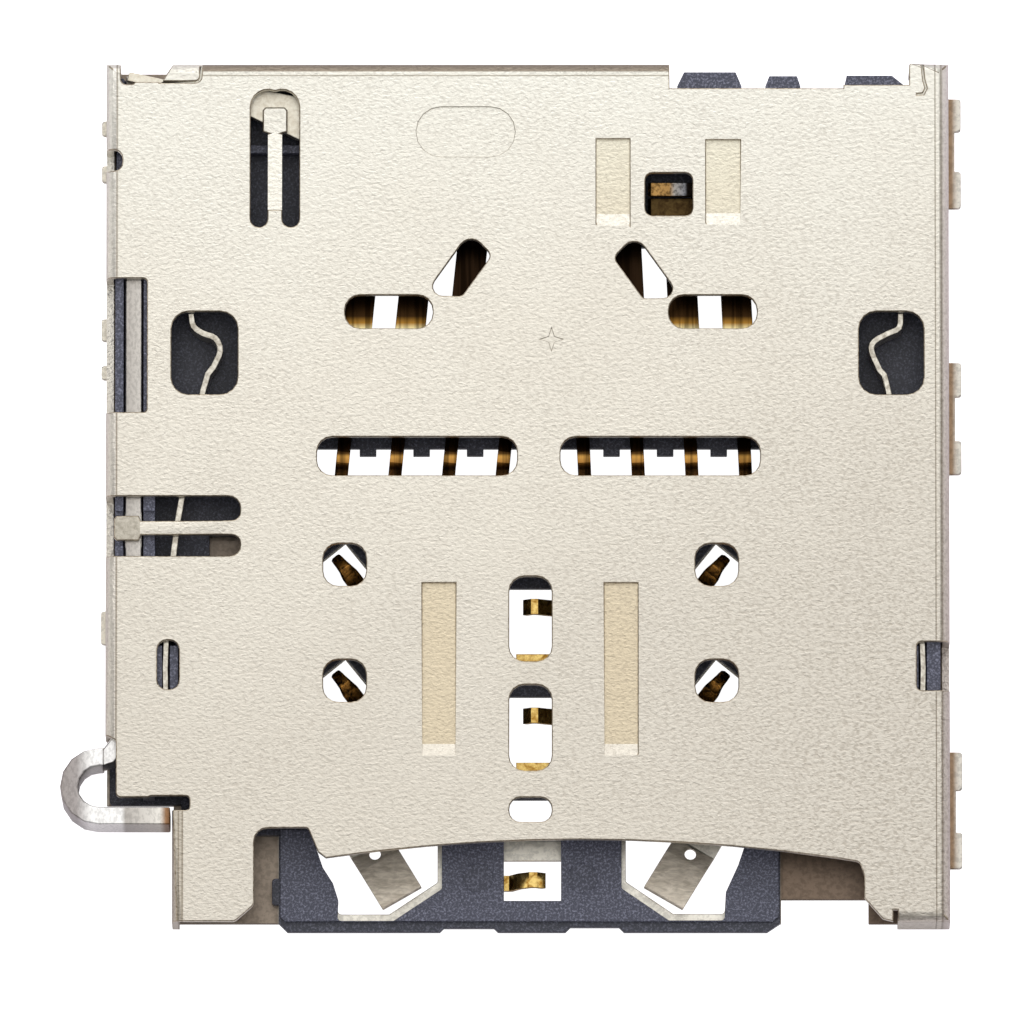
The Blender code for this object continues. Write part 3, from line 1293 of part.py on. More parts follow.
def make_detect_switch(surface, parent):
    """Two flat springs one above the other that tell that a tray is in."""
    tail = CONTACT_SHEET / 2
    root_height = FLOOR_TOP + CONTACT_SHEET / 2 + STACK_GAP
    bend = 0.08 * MM
    reach = DETECT_ROOT_X - DETECT_TIP_X
    spring_pad, contact_pad = DETECT_PADS
    pair = (
        ("detect_spring", DETECT_Y, 0.92 * MM, reach, spring_pad),
        ("detect_contact", DETECT_Y - DETECT_PAIR_STEP, 0.70 * MM, reach, contact_pad),
    )
    for name, y, height, length, pad in pair:
        path = (
            (-0.45 * MM, tail, DETECT_WIDTH),
            (-bend, tail, DETECT_WIDTH),
            (0, tail + bend, DETECT_WIDTH),
            (0, root_height - bend, DETECT_WIDTH),
            (bend, root_height, DETECT_WIDTH),
            (0.56 * MM, root_height, DETECT_WIDTH),
            (1.10 * MM, height, DETECT_WIDTH),
            (length - DETECT_PAD - 0.04 * MM, height, DETECT_WIDTH),
            (length - DETECT_PAD, height, pad),
            (length - 0.05 * MM, height, pad),
            (length, height - 0.03 * MM, pad),
        )
        strip = placed_strip(path, (0, 0, 0), math.pi)
        piece(name, strip, surface, parent, (DETECT_ROOT_X, y, 0))


def make_latch_springs(surface, parent):
    """Bent strips on edge that grip the notches in the tray's sides."""
    sides = (
        ("latch_spring_left", SPRING_ROOT_LEFT, SPRING_BENDS_LEFT),
        ("latch_spring_right", SPRING_ROOT_RIGHT, SPRING_BENDS_RIGHT),
    )
    for name, root_x, bends in sides:
        start = Vector((root_x, SPRING_ROOT_Y - SPRING_ROOT_FRONT))
        route = (start, (root_x, SPRING_ROOT_Y + SPRING_ROOT_BACK), *bends)
        path = [point - start for point in smooth_path(route)]
        one, other = ribbon(path, STRIP)
        bm = bmesh.new()
        prism(bm, one + other[::-1], STRIP_LOW, STRIP_HIGH)
        piece(name, bm, surface, parent, (start.x, start.y, 0))


def left_arm(along, across):
    """Place on the lever from its pivot, along its left arm and square to it."""
    rise = math.atan2(POST_Y - PIVOT_Y, PIVOT_X - ROD_X)
    forward = Vector((-math.cos(rise), math.sin(rise)))
    side = Vector((math.sin(rise), math.cos(rise)))
    return forward * along + side * across


def make_lever(surface, parent):
    """Lever that turns the rod's push round: its right end pushes the tray out."""
    edge = FORK_SLOT + FORK_PRONG
    post = math.hypot(ROD_X - PIVOT_X, POST_Y - PIVOT_Y)
    fork_end = post + FORK_PAST_POST
    fork_root = post - FORK_DEPTH - 0.12 * MM
    neck = fork_root - 0.40 * MM
    tip = Vector(LEVER_TIP)
    along = tip.normalized()
    across = Vector((-along.y, along.x))
    turns = [
        (left_arm(fork_end, -edge), 0.05 * MM),
        (left_arm(fork_root, -edge), 0.10 * MM),
        (left_arm(neck, -0.15 * MM), 0.20 * MM),
        (left_arm(ARM_MIDDLE, 0.0), 0.20 * MM),
        (left_arm(1.00 * MM, -0.26 * MM), 0.20 * MM),
        (Vector((-0.30 * MM, -LEVER_BOSS)), 0.40 * MM),
        (along * 0.60 * MM - across * LEVER_BOSS, 0.40 * MM),
        (along * 1.60 * MM - across * 0.36 * MM, 0.40 * MM),
        (tip - across * LEVER_TIP_RADIUS, LEVER_TIP_RADIUS * 0.9),
        (tip + across * LEVER_TIP_RADIUS, LEVER_TIP_RADIUS * 0.9),
        (along * 1.60 * MM + across * 0.42 * MM, 0.40 * MM),
        (along * 0.60 * MM + across * LEVER_BOSS, 0.30 * MM),
        (left_arm(0.90 * MM, 0.62 * MM), 0.30 * MM),
        (left_arm(ARM_MIDDLE, 0.60 * MM), 0.20 * MM),
        (left_arm(neck, 0.36 * MM), 0.20 * MM),
        (left_arm(fork_root, edge), 0.10 * MM),
        (left_arm(fork_end, edge), 0.05 * MM),
    ]
    bm = bmesh.new()
    prism(bm, rounded([(spot.x, spot.y, radius) for spot, radius in turns], 3), LEVER_LOW, LEVER_HIGH)
    lever = piece("ejector_lever", bm, surface, parent, (PIVOT_X, PIVOT_Y, 0))
    bm = bmesh.new()
    prism(bm, circle(0, 0, PIVOT_RADIUS + PIVOT_CLEAR), 0, HEIGHT)
    slot_root = post - FORK_DEPTH
    slot_end = fork_end + 0.65 * MM
    slot = [left_arm(slot_root, -FORK_SLOT), left_arm(slot_end, -FORK_SLOT)]
    slot += [left_arm(slot_end, FORK_SLOT), left_arm(slot_root, FORK_SLOT)]
    prism(bm, slot, 0, HEIGHT)
    cutter = tool("lever_holes", bm, (PIVOT_X, PIVOT_Y, 0))
    cutter.parent = parent
    shape(lever, cutter, "DIFFERENCE")


def make_pivot(surface, parent):
    """Headed rivet that the lever turns on, standing in the moulding's boss."""
    bm = bmesh.new()
    low = FLOOR_BOTTOM + 0.01 * MM
    neck = LEVER_HIGH + STACK_GAP
    head = SHELL_UNDER - STACK_GAP
    profile = (
        (0, low),
        (PIVOT_RADIUS, low),
        (PIVOT_RADIUS, neck),
        (PIVOT_HEAD, neck),
        (PIVOT_HEAD, head - 0.04 * MM),
        (PIVOT_HEAD - 0.04 * MM, head),
        (0, head),
    )
    ring = [bm.verts.new((radius, 0, z)) for radius, z in profile]
    edges = [bm.edges.new(pair) for pair in zip(ring, ring[1:])]
    bmesh.ops.spin(
        bm, geom=ring + edges, cent=(0, 0, 0), axis=(0, 0, 1), angle=2 * math.pi, steps=20,
        use_merge=True, use_duplicate=False,
    )
    bmesh.ops.remove_doubles(bm, verts=bm.verts, dist=0.0001 * MM)
    piece("lever_pivot", bm, surface, parent, (PIVOT_X, PIVOT_Y, 0))


def make_rod(surface, parent):
    """Push rod: a strip on edge in its channel, ending in the hooked thumb end."""
    start = Vector((ROD_X, POST_Y))
    arc = []
    for step in range(9):
        angle = math.pi / 2 + math.pi * step / 8
        spot = Vector((HOOK_X + HOOK_RADIUS * math.cos(angle), HOOK_Y + HOOK_RADIUS * math.sin(angle)))
        arc.append(spot)
    neck = [
        Vector((ROD_X, ROD_BACK)),
        Vector((ROD_X, LEFT_WALL_FRONT + 0.46 * MM)),
        Vector((ROD_X - 0.06 * MM, LEFT_WALL_FRONT + 0.22 * MM)),
        Vector((ROD_X - 0.22 * MM, LEFT_WALL_FRONT - 0.04 * MM)),
        Vector((HOOK_X + 0.20 * MM, arc[0].y + 0.06 * MM)),
        arc[0],
    ]
    one, other = ribbon([spot - start for spot in neck], ROD)
    bm = bmesh.new()
    prism(bm, one + other[::-1], ROD_LOW, ROD_HIGH)
    rod = piece("push_rod", bm, surface, parent, (start.x, start.y, 0))
    hook = [arc[0] + Vector((0.10 * MM, 0))] + arc + [Vector((HOOK_END, HOOK_Y - HOOK_RADIUS))]
    one, other = ribbon([spot - start for spot in hook], ROD + 0.01 * MM)
    bm = bmesh.new()
    prism(bm, one + other[::-1], HOOK_LOW, HOOK_HIGH)
    hooked = tool("rod_hook", bm, (start.x, start.y, 0))
    shape(rod, hooked, "UNION")
    bm = bmesh.new()
    step_front = ROD_TALL_BACK - POST_Y
    step_back = ROD_BACK - POST_Y + THROUGH
    box(bm, -ROD, ROD, step_front, step_back, LOW_WALL_TOP, HEIGHT + THROUGH)
    shape(rod, tool("rod_step", bm, (start.x, start.y, 0)), "DIFFERENCE")
    bm = bmesh.new()
    prism(bm, circle(0, 0, POST_RADIUS, 12), LOW_WALL_TOP - EMBED, LEVER_HIGH + 0.06 * MM)
    shape(rod, tool("rod_post", bm, (start.x, start.y, 0)), "UNION")


def build():
    """Empties the scene and makes every piece under one empty."""
    for old in list(bpy.data.objects):
        bpy.data.objects.remove(old)
    socket = bpy.data.objects.new("socket", None)
    bpy.context.scene.collection.objects.link(socket)
    sheet = material("nickel_plated_steel", (0.80, 0.77, 0.68), 0.42, 1.0)
    moulding = material("black_moulding", (0.03, 0.03, 0.045), 0.55, 0.0)
    gold = material("gold_plating", (0.72, 0.48, 0.14), 0.30, 1.0)
    steel = material("spring_steel", (0.55, 0.52, 0.48), 0.35, 1.0)
    make_frame(sheet, socket)
    make_housing(moulding, socket)
    make_row_contacts(gold, socket)
    make_sim_contacts(gold, socket)
    make_centre_contacts(gold, socket)
    make_detect_switch(gold, socket)
    make_latch_springs(steel, socket)
    make_lever(sheet, socket)
    make_pivot(steel, socket)
    make_rod(steel, socket)
    make_shell(sheet, socket)


build()
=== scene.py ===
"""Looks of the push-rod card socket: fine edges, finishes, floor, light and camera."""

import math

import bmesh
import bpy
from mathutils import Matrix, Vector


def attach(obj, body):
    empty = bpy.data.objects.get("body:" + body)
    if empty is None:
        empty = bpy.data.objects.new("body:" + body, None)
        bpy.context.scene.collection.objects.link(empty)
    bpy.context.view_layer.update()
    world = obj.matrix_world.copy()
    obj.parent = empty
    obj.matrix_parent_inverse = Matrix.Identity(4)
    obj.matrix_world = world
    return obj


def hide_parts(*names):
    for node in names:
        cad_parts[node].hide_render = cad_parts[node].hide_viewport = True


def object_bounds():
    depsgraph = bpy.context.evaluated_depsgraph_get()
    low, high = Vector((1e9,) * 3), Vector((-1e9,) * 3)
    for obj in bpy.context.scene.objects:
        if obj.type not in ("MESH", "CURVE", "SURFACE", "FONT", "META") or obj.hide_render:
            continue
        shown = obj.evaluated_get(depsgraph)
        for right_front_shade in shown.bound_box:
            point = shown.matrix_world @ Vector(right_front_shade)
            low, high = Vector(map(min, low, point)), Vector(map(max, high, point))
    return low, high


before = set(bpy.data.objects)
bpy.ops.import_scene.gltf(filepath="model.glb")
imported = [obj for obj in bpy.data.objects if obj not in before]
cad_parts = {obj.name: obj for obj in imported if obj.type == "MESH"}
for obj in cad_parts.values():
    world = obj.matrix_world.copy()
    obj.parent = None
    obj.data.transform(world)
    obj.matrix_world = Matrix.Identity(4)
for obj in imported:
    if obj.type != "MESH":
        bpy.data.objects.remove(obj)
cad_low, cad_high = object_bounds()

MM = 0.001

# The view: nearly straight down, from the mouth's side, through a very long lens
VIEW_ELEVATION = math.radians(81.5)
VIEW_TARGET = Vector((0.006, -0.257, 0.75)) * MM
VIEW_WIDTH = 20.98 * MM
VIEW_LENS = 1000.0
VIEW_SENSOR = 36.0

# Sizes of the real socket that finishes and fine edges refer to, in millimetres
HEIGHT = cad_high.z / MM
PRESS_DEPTH = 0.08
SHELL_LEFT = -8.32
SHELL_RIGHT = 8.97
SHELL_BACK = 8.96
SHELL_FRONT = -8.82
FOOT_CLEAR_LEFT = 0.04
FOOT_CLEAR_RIGHT = 0.18
FRAME_SHEET_TOP = 0.16

# Parts of the cover seen from above: left, right, front and back, in millimetres
ANYWHERE = (-100.0, 100.0, -100.0, 100.0)
BACK_FINGER_HEAD = (-5.20, -4.50, 7.40, 8.20)
SIDE_FINGER_HEAD = (-8.30, -7.45, -1.05, -0.30)
STRIPS = (-3.0, 6.0, -7.0, 8.0)
WITHIN_FOLDS = (-6.5, 6.5, -8.0, 8.0)

# Widths of the rounded edges, in millimetres
CONTACT_ROUND = 0.007
MARK_ROUND = 0.010
MOULDING_ROUND = 0.012
STRIP_ROUND = 0.014
RIM_ROUND = 0.022
FINGER_HEAD_ROUND = 0.030
ROD_ROUND = 0.030
CONTACT_TIP_ROUND = 0.05
FOOT_ROUND = 0.06

# How far below the cover's top its edges are rounded, and how tall the walls there are
RIM_REACH = 0.12
FINGER_HEAD_REACH = 0.22
SIDE_HEAD_DEPTHS = (0.05, 0.40)
MARK_WALLS = (0.01, 0.06)
CUT_WALLS = (0.06, 2.0)

# The cover's mesh: points nearer than this are merged, and faces within this angle are joined
SHELL_WELD = 0.012
SHELL_JOIN_ANGLE = 0.5

# The sim contacts' free ends lie above this height, and their edges are shorter than this
TIP_HEIGHT = 0.6
TIP_EDGE = 0.2

# Floor: half its width, how far it lies below the socket, and its brightness to the eye and to the metal
FLOOR_HALF = 0.6
FLOOR_DROP = 0.01 * MM
FLOOR_TO_EYE = 1.0
FLOOR_TO_METAL = 0.14

# Brightness of the room at its horizon and overhead
ROOM_LOW = 0.14
ROOM_HIGH = 0.52

ROW_CONTACTS = [f"memory_contact_{number}" for number in range(1, 9)]
SIM_CONTACTS = [f"sim_contact_{side}_{row}" for side in ("left", "right") for row in (1, 2)]
CENTRE_CONTACTS = [f"centre_contact_{number}" for number in (1, 2, 3)]
LATCH_SPRINGS = ["latch_spring_left", "latch_spring_right"]


def linear(hex_colour):
    """Linear RGBA of an sRGB hex colour."""
    channels = [int(hex_colour[place:place + 2], 16) / 255 for place in (1, 3, 5)]
    return (*[c / 12.92 if c <= 0.04045 else ((c + 0.055) / 1.055) ** 2.4 for c in channels], 1.0)


def add(tree, kind, values=None, links=None, **settings):
    """Adds a node with its settings, constant sockets and links."""
    made = tree.nodes.new(kind)
    for name, value in settings.items():
        setattr(made, name, value)
    for socket, value in (values or {}).items():
        made.inputs[socket].default_value = value
    for socket, source in (links or {}).items():
        tree.links.new(source, made.inputs[socket])
    return made


def new_material(name):
    """Empty node material with its output and one Principled shader."""
    surface = bpy.data.materials.new(name)
    surface.use_nodes = True
    tree = surface.node_tree
    tree.nodes.clear()
    shader = add(tree, "ShaderNodeBsdfPrincipled")
    add(tree, "ShaderNodeOutputMaterial", links={"Surface": shader.outputs["BSDF"]})
    return surface, tree, shader


def per_mm(size_mm):
    """Texture scale, in metres of Object coordinates, of a pattern with features of that size."""
    return 1.0 / (size_mm * MM)


def set_stops(ramp, low, high, stops):
    """Colours of a ramp at places in millimetres between its two ends."""
    elements = ramp.color_ramp.elements
    while len(elements) > 1:
        elements.remove(elements[-1])
    for number, (place, colour) in enumerate(stops):
        spot = (place - low) / (high - low)
        element = elements[0] if number == 0 else elements.new(spot)
        element.position = spot
        element.color = linear(colour)


def band(tree, coordinate, stops):
    """Tones to multiply in across a narrow band of the sheet, white outside it."""
    low, high = stops[0][0], stops[-1][0]
    across = add(
        tree, "ShaderNodeMapRange", links={"Value": coordinate},
        values={"From Min": low * MM, "From Max": high * MM},
    )
    ramp = add(tree, "ShaderNodeValToRGB", links={"Fac": across.outputs["Result"]})
    set_stops(ramp, low, high, stops)
    return ramp.outputs["Color"]


def only_between(tree, coordinate, low, high):
    """Mask that is one where a coordinate lies between two places."""
    above = add(tree, "ShaderNodeMath", operation="GREATER_THAN", links={0: coordinate}, values={1: low * MM})
    below = add(tree, "ShaderNodeMath", operation="LESS_THAN", links={0: coordinate}, values={1: high * MM})
    return add(
        tree, "ShaderNodeMath", operation="MULTIPLY", links={0: above.outputs[0], 1: below.outputs[0]},
    ).outputs[0]


def folds_with_painted_reflections(tree, spots, colour):
    """Sheet colour with painted reflections and shade along its folds: grey bands and thin dark lines."""
    x, y = spots.outputs["X"], spots.outputs["Y"]
    right = band(tree, x, (
        (8.62, "#FFFFFF"), (8.67, "#FFFFFF"), (8.69, "#A0988E"), (8.71, "#FFFFFF"), (8.78, "#FFFFFF"),
        (8.81, "#B8B0AA"), (8.85, "#F4F0F4"), (8.99, "#F4F0F6"),
    ))
    left = band(tree, x, (
        (-8.34, "#F2F0F2"), (-8.27, "#FFFFFF"), (-8.13, "#FCFCFF"), (-8.10, "#A29A92"), (-8.07, "#FFFFFF"),
    ))
    leg = band(tree, x, (
        (-6.96, "#B5AEA8"), (-6.90, "#E2DFDB"), (-6.84, "#E2DFDB"), (-6.82, "#A0978C"), (-6.80, "#E2DFDB"),
        (-6.76, "#E2DFDB"), (-6.74, "#A0978C"), (-6.71, "#FFFFFF"),
    ))
    # painted reflection: a dark band and a thin dark line along the back fold
    back = band(tree, y, (
        (8.62, "#FFFFFF"), (8.68, "#FFFFFF"), (8.70, "#B0A89E"), (8.72, "#FFFFFF"), (8.765, "#FFFFFF"),
        (8.80, "#A0968E"), (8.98, "#A89E96"),
    ))
    leg_place = only_between(tree, y, -9.0, -6.2)
    leg_left = add(
        tree, "ShaderNodeMath", operation="MULTIPLY",
        links={0: leg_place, 1: only_between(tree, x, -7.0, -6.0)},
    ).outputs[0]
    back_place = only_between(tree, x, -6.35, 3.3)
    for tone, share in ((right, None), (left, None), (leg, leg_left), (back, back_place)):
        mixed = add(
            tree, "ShaderNodeMix", data_type="RGBA", blend_type="MULTIPLY", values={0: 1.0},
            links={6: colour, 7: tone},
        )
        if share is not None:
            tree.links.new(share, mixed.inputs[0])
        colour = mixed.outputs[2]
    return colour


def stained_plating_with_painted_falloff(tree, place, spots, back, middle, front, shaded_right_front):
    """Plating's tone with faint stains, painted darker from back to front and towards the right front corner
    as painted shade, and how near a place is to that corner.
    """
    stain = add(
        tree, "ShaderNodeTexNoise", links={"Vector": place},
        values={"Scale": per_mm(4.5), "Detail": 3.0, "Roughness": 0.55},
    )
    forward = add(
        tree, "ShaderNodeMapRange", links={"Value": spots.outputs["Y"]},
        values={"From Min": SHELL_BACK * MM, "From Max": SHELL_FRONT * MM},
    )
    rightward = add(
        tree, "ShaderNodeMapRange", links={"Value": spots.outputs["X"]},
        values={"From Min": 0.0, "From Max": SHELL_RIGHT * MM},
    )
    stain_and_falloff = add(
        tree, "ShaderNodeMath", operation="MULTIPLY_ADD",
        links={0: stain.outputs["Fac"], 2: forward.outputs["Result"]}, values={1: 0.5},
    )
    tone = add(tree, "ShaderNodeValToRGB", links={"Fac": stain_and_falloff.outputs[0]})
    set_stops(tone, 0.0, 1.0, ((0.22, back), (0.62, middle), (1.0, front)))
    right_front_shade = add(
        tree, "ShaderNodeMath", operation="MULTIPLY", use_clamp=True,
        links={0: forward.outputs["Result"], 1: rightward.outputs["Result"]},
    )
    # painted shade: the plating turns darker towards the right front corner
    darker = add(
        tree, "ShaderNodeMix", data_type="RGBA", links={0: right_front_shade.outputs[0], 6: tone.outputs["Color"]},
        values={7: linear(shaded_right_front)},
    )
    return darker.outputs[2], right_front_shade.outputs[0]


def wrinkled_grain(tree, place):
    """Rolled grain: short wrinkles that lie across the sheet, slightly turned."""
    stretched = add(
        tree, "ShaderNodeMapping", links={"Vector": place},
        values={"Scale": (0.66, 1.0, 1.0), "Rotation": (0.0, 0.0, math.radians(-8))},
    )
    return add(
        tree, "ShaderNodeTexNoise", links={"Vector": stretched.outputs[0]},
        values={"Scale": per_mm(0.060), "Detail": 2.0, "Roughness": 0.55, "Distortion": 0.3},
    ).outputs["Fac"]


def satin_nickel_sheet(name, back, middle, front, shaded_right_front):
    """Nickel-plated stainless, rolled with a wrinkled matt grain: a warm cream that never mirrors.

    The plating is painted paler at the back and darker towards the mouth and the right front: painted shade.
    The folds carry painted reflections, and the wrinkles' hollows painted shade, most at the right front.
    """
    surface, tree, shader = new_material(name)
    place = add(tree, "ShaderNodeTexCoord").outputs["Object"]
    spots = add(tree, "ShaderNodeSeparateXYZ", links={"Vector": place})
    plating, right_front_shade = stained_plating_with_painted_falloff(tree, place, spots, back, middle, front, shaded_right_front)
    wrinkle = wrinkled_grain(tree, place)
    hollow = add(
        tree, "ShaderNodeMapRange", links={"Value": wrinkle},
        values={"From Min": 0.34, "From Max": 0.56, "To Min": 1.0, "To Max": 0.0},
    )
    patches = add(
        tree, "ShaderNodeTexNoise", links={"Vector": place},
        values={"Scale": per_mm(1.6), "Detail": 1.0, "Roughness": 0.5},
    )
    hollow_shade_strength = add(
        tree, "ShaderNodeMath", operation="MULTIPLY_ADD",
        links={0: patches.outputs["Fac"], 2: right_front_shade}, values={1: 0.8},
    )
    painted_shade_factor = add(
        tree, "ShaderNodeMapRange", links={"Value": hollow_shade_strength.outputs[0]},
        values={"From Min": 0.2, "From Max": 1.1, "To Min": 0.12, "To Max": 0.40},
    )
    # painted shade: the wrinkles' hollows are darkened towards #8C8070, more at the right front and in random
    # patches
    hollow_shade = add(
        tree, "ShaderNodeMath", operation="MULTIPLY",
        links={0: hollow.outputs["Result"], 1: painted_shade_factor.outputs["Result"]},
    )
    hollow_shaded = add(
        tree, "ShaderNodeMix", data_type="RGBA", links={0: hollow_shade.outputs[0], 6: plating},
        values={7: linear("#8C8070")},
    )
    bump = add(
        tree, "ShaderNodeBump", values={"Strength": 1.0, "Distance": 0.020 * MM},
        links={"Height": wrinkle},
    )
    shader.inputs["Metallic"].default_value = 1.0
    shader.inputs["Roughness"].default_value = 0.38
    tree.links.new(folds_with_painted_reflections(tree, spots, hollow_shaded.outputs[2]), shader.inputs["Base Color"])
    tree.links.new(bump.outputs["Normal"], shader.inputs["Normal"])
    return surface


def metal(name, dark, bright, grain_mm, roughness, relief=0.003, stretch=(1.0, 1.0, 1.0), bloom=0.0):
    """Metal strip or sheet whose colour drifts between two tones over a fine rolled grain.

    A bloom is the share of its face that is dull with oxide, which spreads light like paint.
    """
    surface, tree, shader = new_material(name)
    place = add(tree, "ShaderNodeTexCoord").outputs["Object"]
    drawn = add(tree, "ShaderNodeMapping", values={"Scale": stretch}, links={"Vector": place})
    grain = add(
        tree, "ShaderNodeTexNoise", links={"Vector": drawn.outputs[0]},
        values={"Scale": per_mm(grain_mm), "Detail": 3.0, "Roughness": 0.65, "Distortion": 0.4},
    )
    share = add(
        tree, "ShaderNodeMapRange", links={"Value": grain.outputs["Fac"]},
        values={"From Min": 0.35, "From Max": 0.65},
    )
    tone = add(
        tree, "ShaderNodeMix", data_type="RGBA", links={0: share.outputs["Result"]},
        values={6: linear(dark), 7: linear(bright)},
    )
    bump = add(
        tree, "ShaderNodeBump", values={"Strength": 0.4, "Distance": relief * MM},
        links={"Height": grain.outputs["Fac"]},
    )
    shader.inputs["Metallic"].default_value = 1.0 - bloom
    shader.inputs["Roughness"].default_value = roughness
    tree.links.new(tone.outputs[2], shader.inputs["Base Color"])
    tree.links.new(bump.outputs["Normal"], shader.inputs["Normal"])
    return surface


def banded_metal(name, axis, stops, grain_mm, stretch, roughness=0.3, contrast=0.5):
    """Metal whose tone changes along one axis, with drawn lines or grain over it."""
    surface, tree, shader = new_material(name)
    place = add(tree, "ShaderNodeTexCoord").outputs["Object"]
    spots = add(tree, "ShaderNodeSeparateXYZ", links={"Vector": place})
    low, high = stops[0][0], stops[-1][0]
    along = add(
        tree, "ShaderNodeMapRange", links={"Value": spots.outputs[axis]},
        values={"From Min": low * MM, "From Max": high * MM},
    )
    tone = add(tree, "ShaderNodeValToRGB", links={"Fac": along.outputs["Result"]})
    set_stops(tone, low, high, stops)
    drawn = add(tree, "ShaderNodeMapping", values={"Scale": stretch}, links={"Vector": place})
    lines = add(
        tree, "ShaderNodeTexNoise", links={"Vector": drawn.outputs[0]},
        values={"Scale": per_mm(grain_mm), "Detail": 2.0, "Roughness": 0.6},
    )
    groove = add(
        tree, "ShaderNodeMapRange", links={"Value": lines.outputs["Fac"]},
        values={"From Min": 0.40, "From Max": 0.56, "To Min": 1.0 - contrast, "To Max": 1.0},
    )
    lined = add(
        tree, "ShaderNodeMix", data_type="RGBA", blend_type="MULTIPLY", values={0: 1.0},
        links={6: tone.outputs["Color"], 7: groove.outputs["Result"]},
    )
    bump = add(
        tree, "ShaderNodeBump", values={"Strength": 0.5, "Distance": 0.006 * MM},
        links={"Height": lines.outputs["Fac"]},
    )
    shader.inputs["Metallic"].default_value = 1.0
    shader.inputs["Roughness"].default_value = roughness
    tree.links.new(lined.outputs[2], shader.inputs["Base Color"])
    tree.links.new(bump.outputs["Normal"], shader.inputs["Normal"])
    return surface


def black_moulding():
    """Glass-filled liquid crystal polymer, as moulded: blue-black, matt, with pale specks of glass.

    The deep floor is painted darker, as painted shade.
    """
    surface, tree, shader = new_material("glass_filled_black_polymer")
    place = add(tree, "ShaderNodeTexCoord").outputs["Object"]
    specks = add(
        tree, "ShaderNodeTexNoise", links={"Vector": place},
        values={"Scale": per_mm(0.045), "Detail": 2.0, "Roughness": 0.7},
    )
    share = add(
        tree, "ShaderNodeMapRange", links={"Value": specks.outputs["Fac"]},
        values={"From Min": 0.48, "From Max": 0.80},
    )
    tone = add(
        tree, "ShaderNodeMix", data_type="RGBA", links={0: share.outputs["Result"]},
        values={6: linear("#464858"), 7: linear("#A0A2B8")},
    )
    spots = add(tree, "ShaderNodeSeparateXYZ", links={"Vector": place})
    # painted shade: the moulding darkens towards its deep floor
    painted_shade_factor = add(
        tree, "ShaderNodeMapRange", links={"Value": spots.outputs["Z"]},
        values={"From Min": 0.43 * MM, "From Max": 0.50 * MM, "To Min": 0.50, "To Max": 1.0},
    )
    shaded = add(
        tree, "ShaderNodeMix", data_type="RGBA", blend_type="MULTIPLY", values={0: 1.0},
        links={6: tone.outputs[2], 7: painted_shade_factor.outputs["Result"]},
    )
    bump = add(
        tree, "ShaderNodeBump", values={"Strength": 0.6, "Distance": 0.008 * MM},
        links={"Height": specks.outputs["Fac"]},
    )
    shader.inputs["Roughness"].default_value = 0.45
    tree.links.new(shaded.outputs[2], shader.inputs["Base Color"])
    tree.links.new(bump.outputs["Normal"], shader.inputs["Normal"])
    return surface


def merged_copy(node, weld=0.0005):
    """The CAD node's mesh as one welded bmesh, in millimetres so that fine edges come out exact."""
    bm = bmesh.new()
    bm.from_mesh(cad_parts[node].data)
    bmesh.ops.scale(bm, vec=(1 / MM, 1 / MM, 1 / MM), verts=bm.verts)
    bmesh.ops.remove_doubles(bm, verts=bm.verts, dist=weld)
    return bm


def wall_height(edge):
    """Height of the taller face beside an edge."""
    heights = []
    for face in edge.link_faces:
        levels = [vert.co.z for vert in face.verts]
        heights.append(max(levels) - min(levels))
    return max(heights)


def inside(place, box):
    """Whether a place lies between the left, right, front and back of a box."""
    left, right, front, back = box
    return left < place.x < right and front < place.y < back


def round_corners(bm, width, surface=-1, above=-1.0, sharpest=50, walls=(0.0, 100.0), box=ANYWHERE):
    """Rounds the outer corners of a piece that lie above a height and whose walls are that tall."""
    chosen = []
    for edge in bm.edges:
        if len(edge.link_faces) != 2 or not edge.is_convex:
            continue
        if min(vert.co.z for vert in edge.verts) < above:
            continue
        if not all(inside(vert.co, box) for vert in edge.verts):
            continue
        if not walls[0] <= wall_height(edge) < walls[1]:
            continue
        if edge.calc_face_angle(0.0) > math.radians(sharpest):
            chosen.append(edge)
    bmesh.ops.bevel(
        bm, geom=chosen, offset=width, offset_type="OFFSET", segments=2, profile=0.5,
        affect="EDGES", material=surface, clamp_overlap=False, loop_slide=False,
    )


def round_feet(bm, inner_left, inner_right, radius):
    """Rounds the upright corners of the feet that stand out beside the sheet."""
    chosen = []
    for edge in bm.edges:
        one, other = (vert.co for vert in edge.verts)
        upright = abs(one.x - other.x) < 1e-4 and abs(one.y - other.y) < 1e-4
        outside = one.x < inner_left or one.x > inner_right
        if upright and outside and edge.is_convex:
            chosen.append(edge)
    bmesh.ops.bevel(
        bm, geom=chosen, offset=radius, offset_type="OFFSET", segments=4, profile=0.5,
        affect="EDGES", material=-1, clamp_overlap=False, loop_slide=False,
    )


def round_tip(bm, radius, above, thickness):
    """Rounds the free end of a strip, as it is blanked."""
    chosen = []
    for edge in bm.edges:
        if edge.calc_length() < thickness and edge.calc_face_angle(0.0) > math.radians(60):
            if edge.is_convex and max(vert.co.z for vert in edge.verts) > above:
                chosen.append(edge)
    bmesh.ops.bevel(
        bm, geom=chosen, offset=radius, offset_type="OFFSET", segments=5, profile=0.5,
        affect="EDGES", material=-1, clamp_overlap=False, loop_slide=False,
    )


def join_flats(bm, degrees=0.2):
    """Joins the triangles of each flat face."""
    bmesh.ops.dissolve_limit(
        bm, angle_limit=math.radians(degrees), use_dissolve_boundaries=False,
        verts=bm.verts, edges=bm.edges, delimit={"NORMAL", "MATERIAL"},
    )


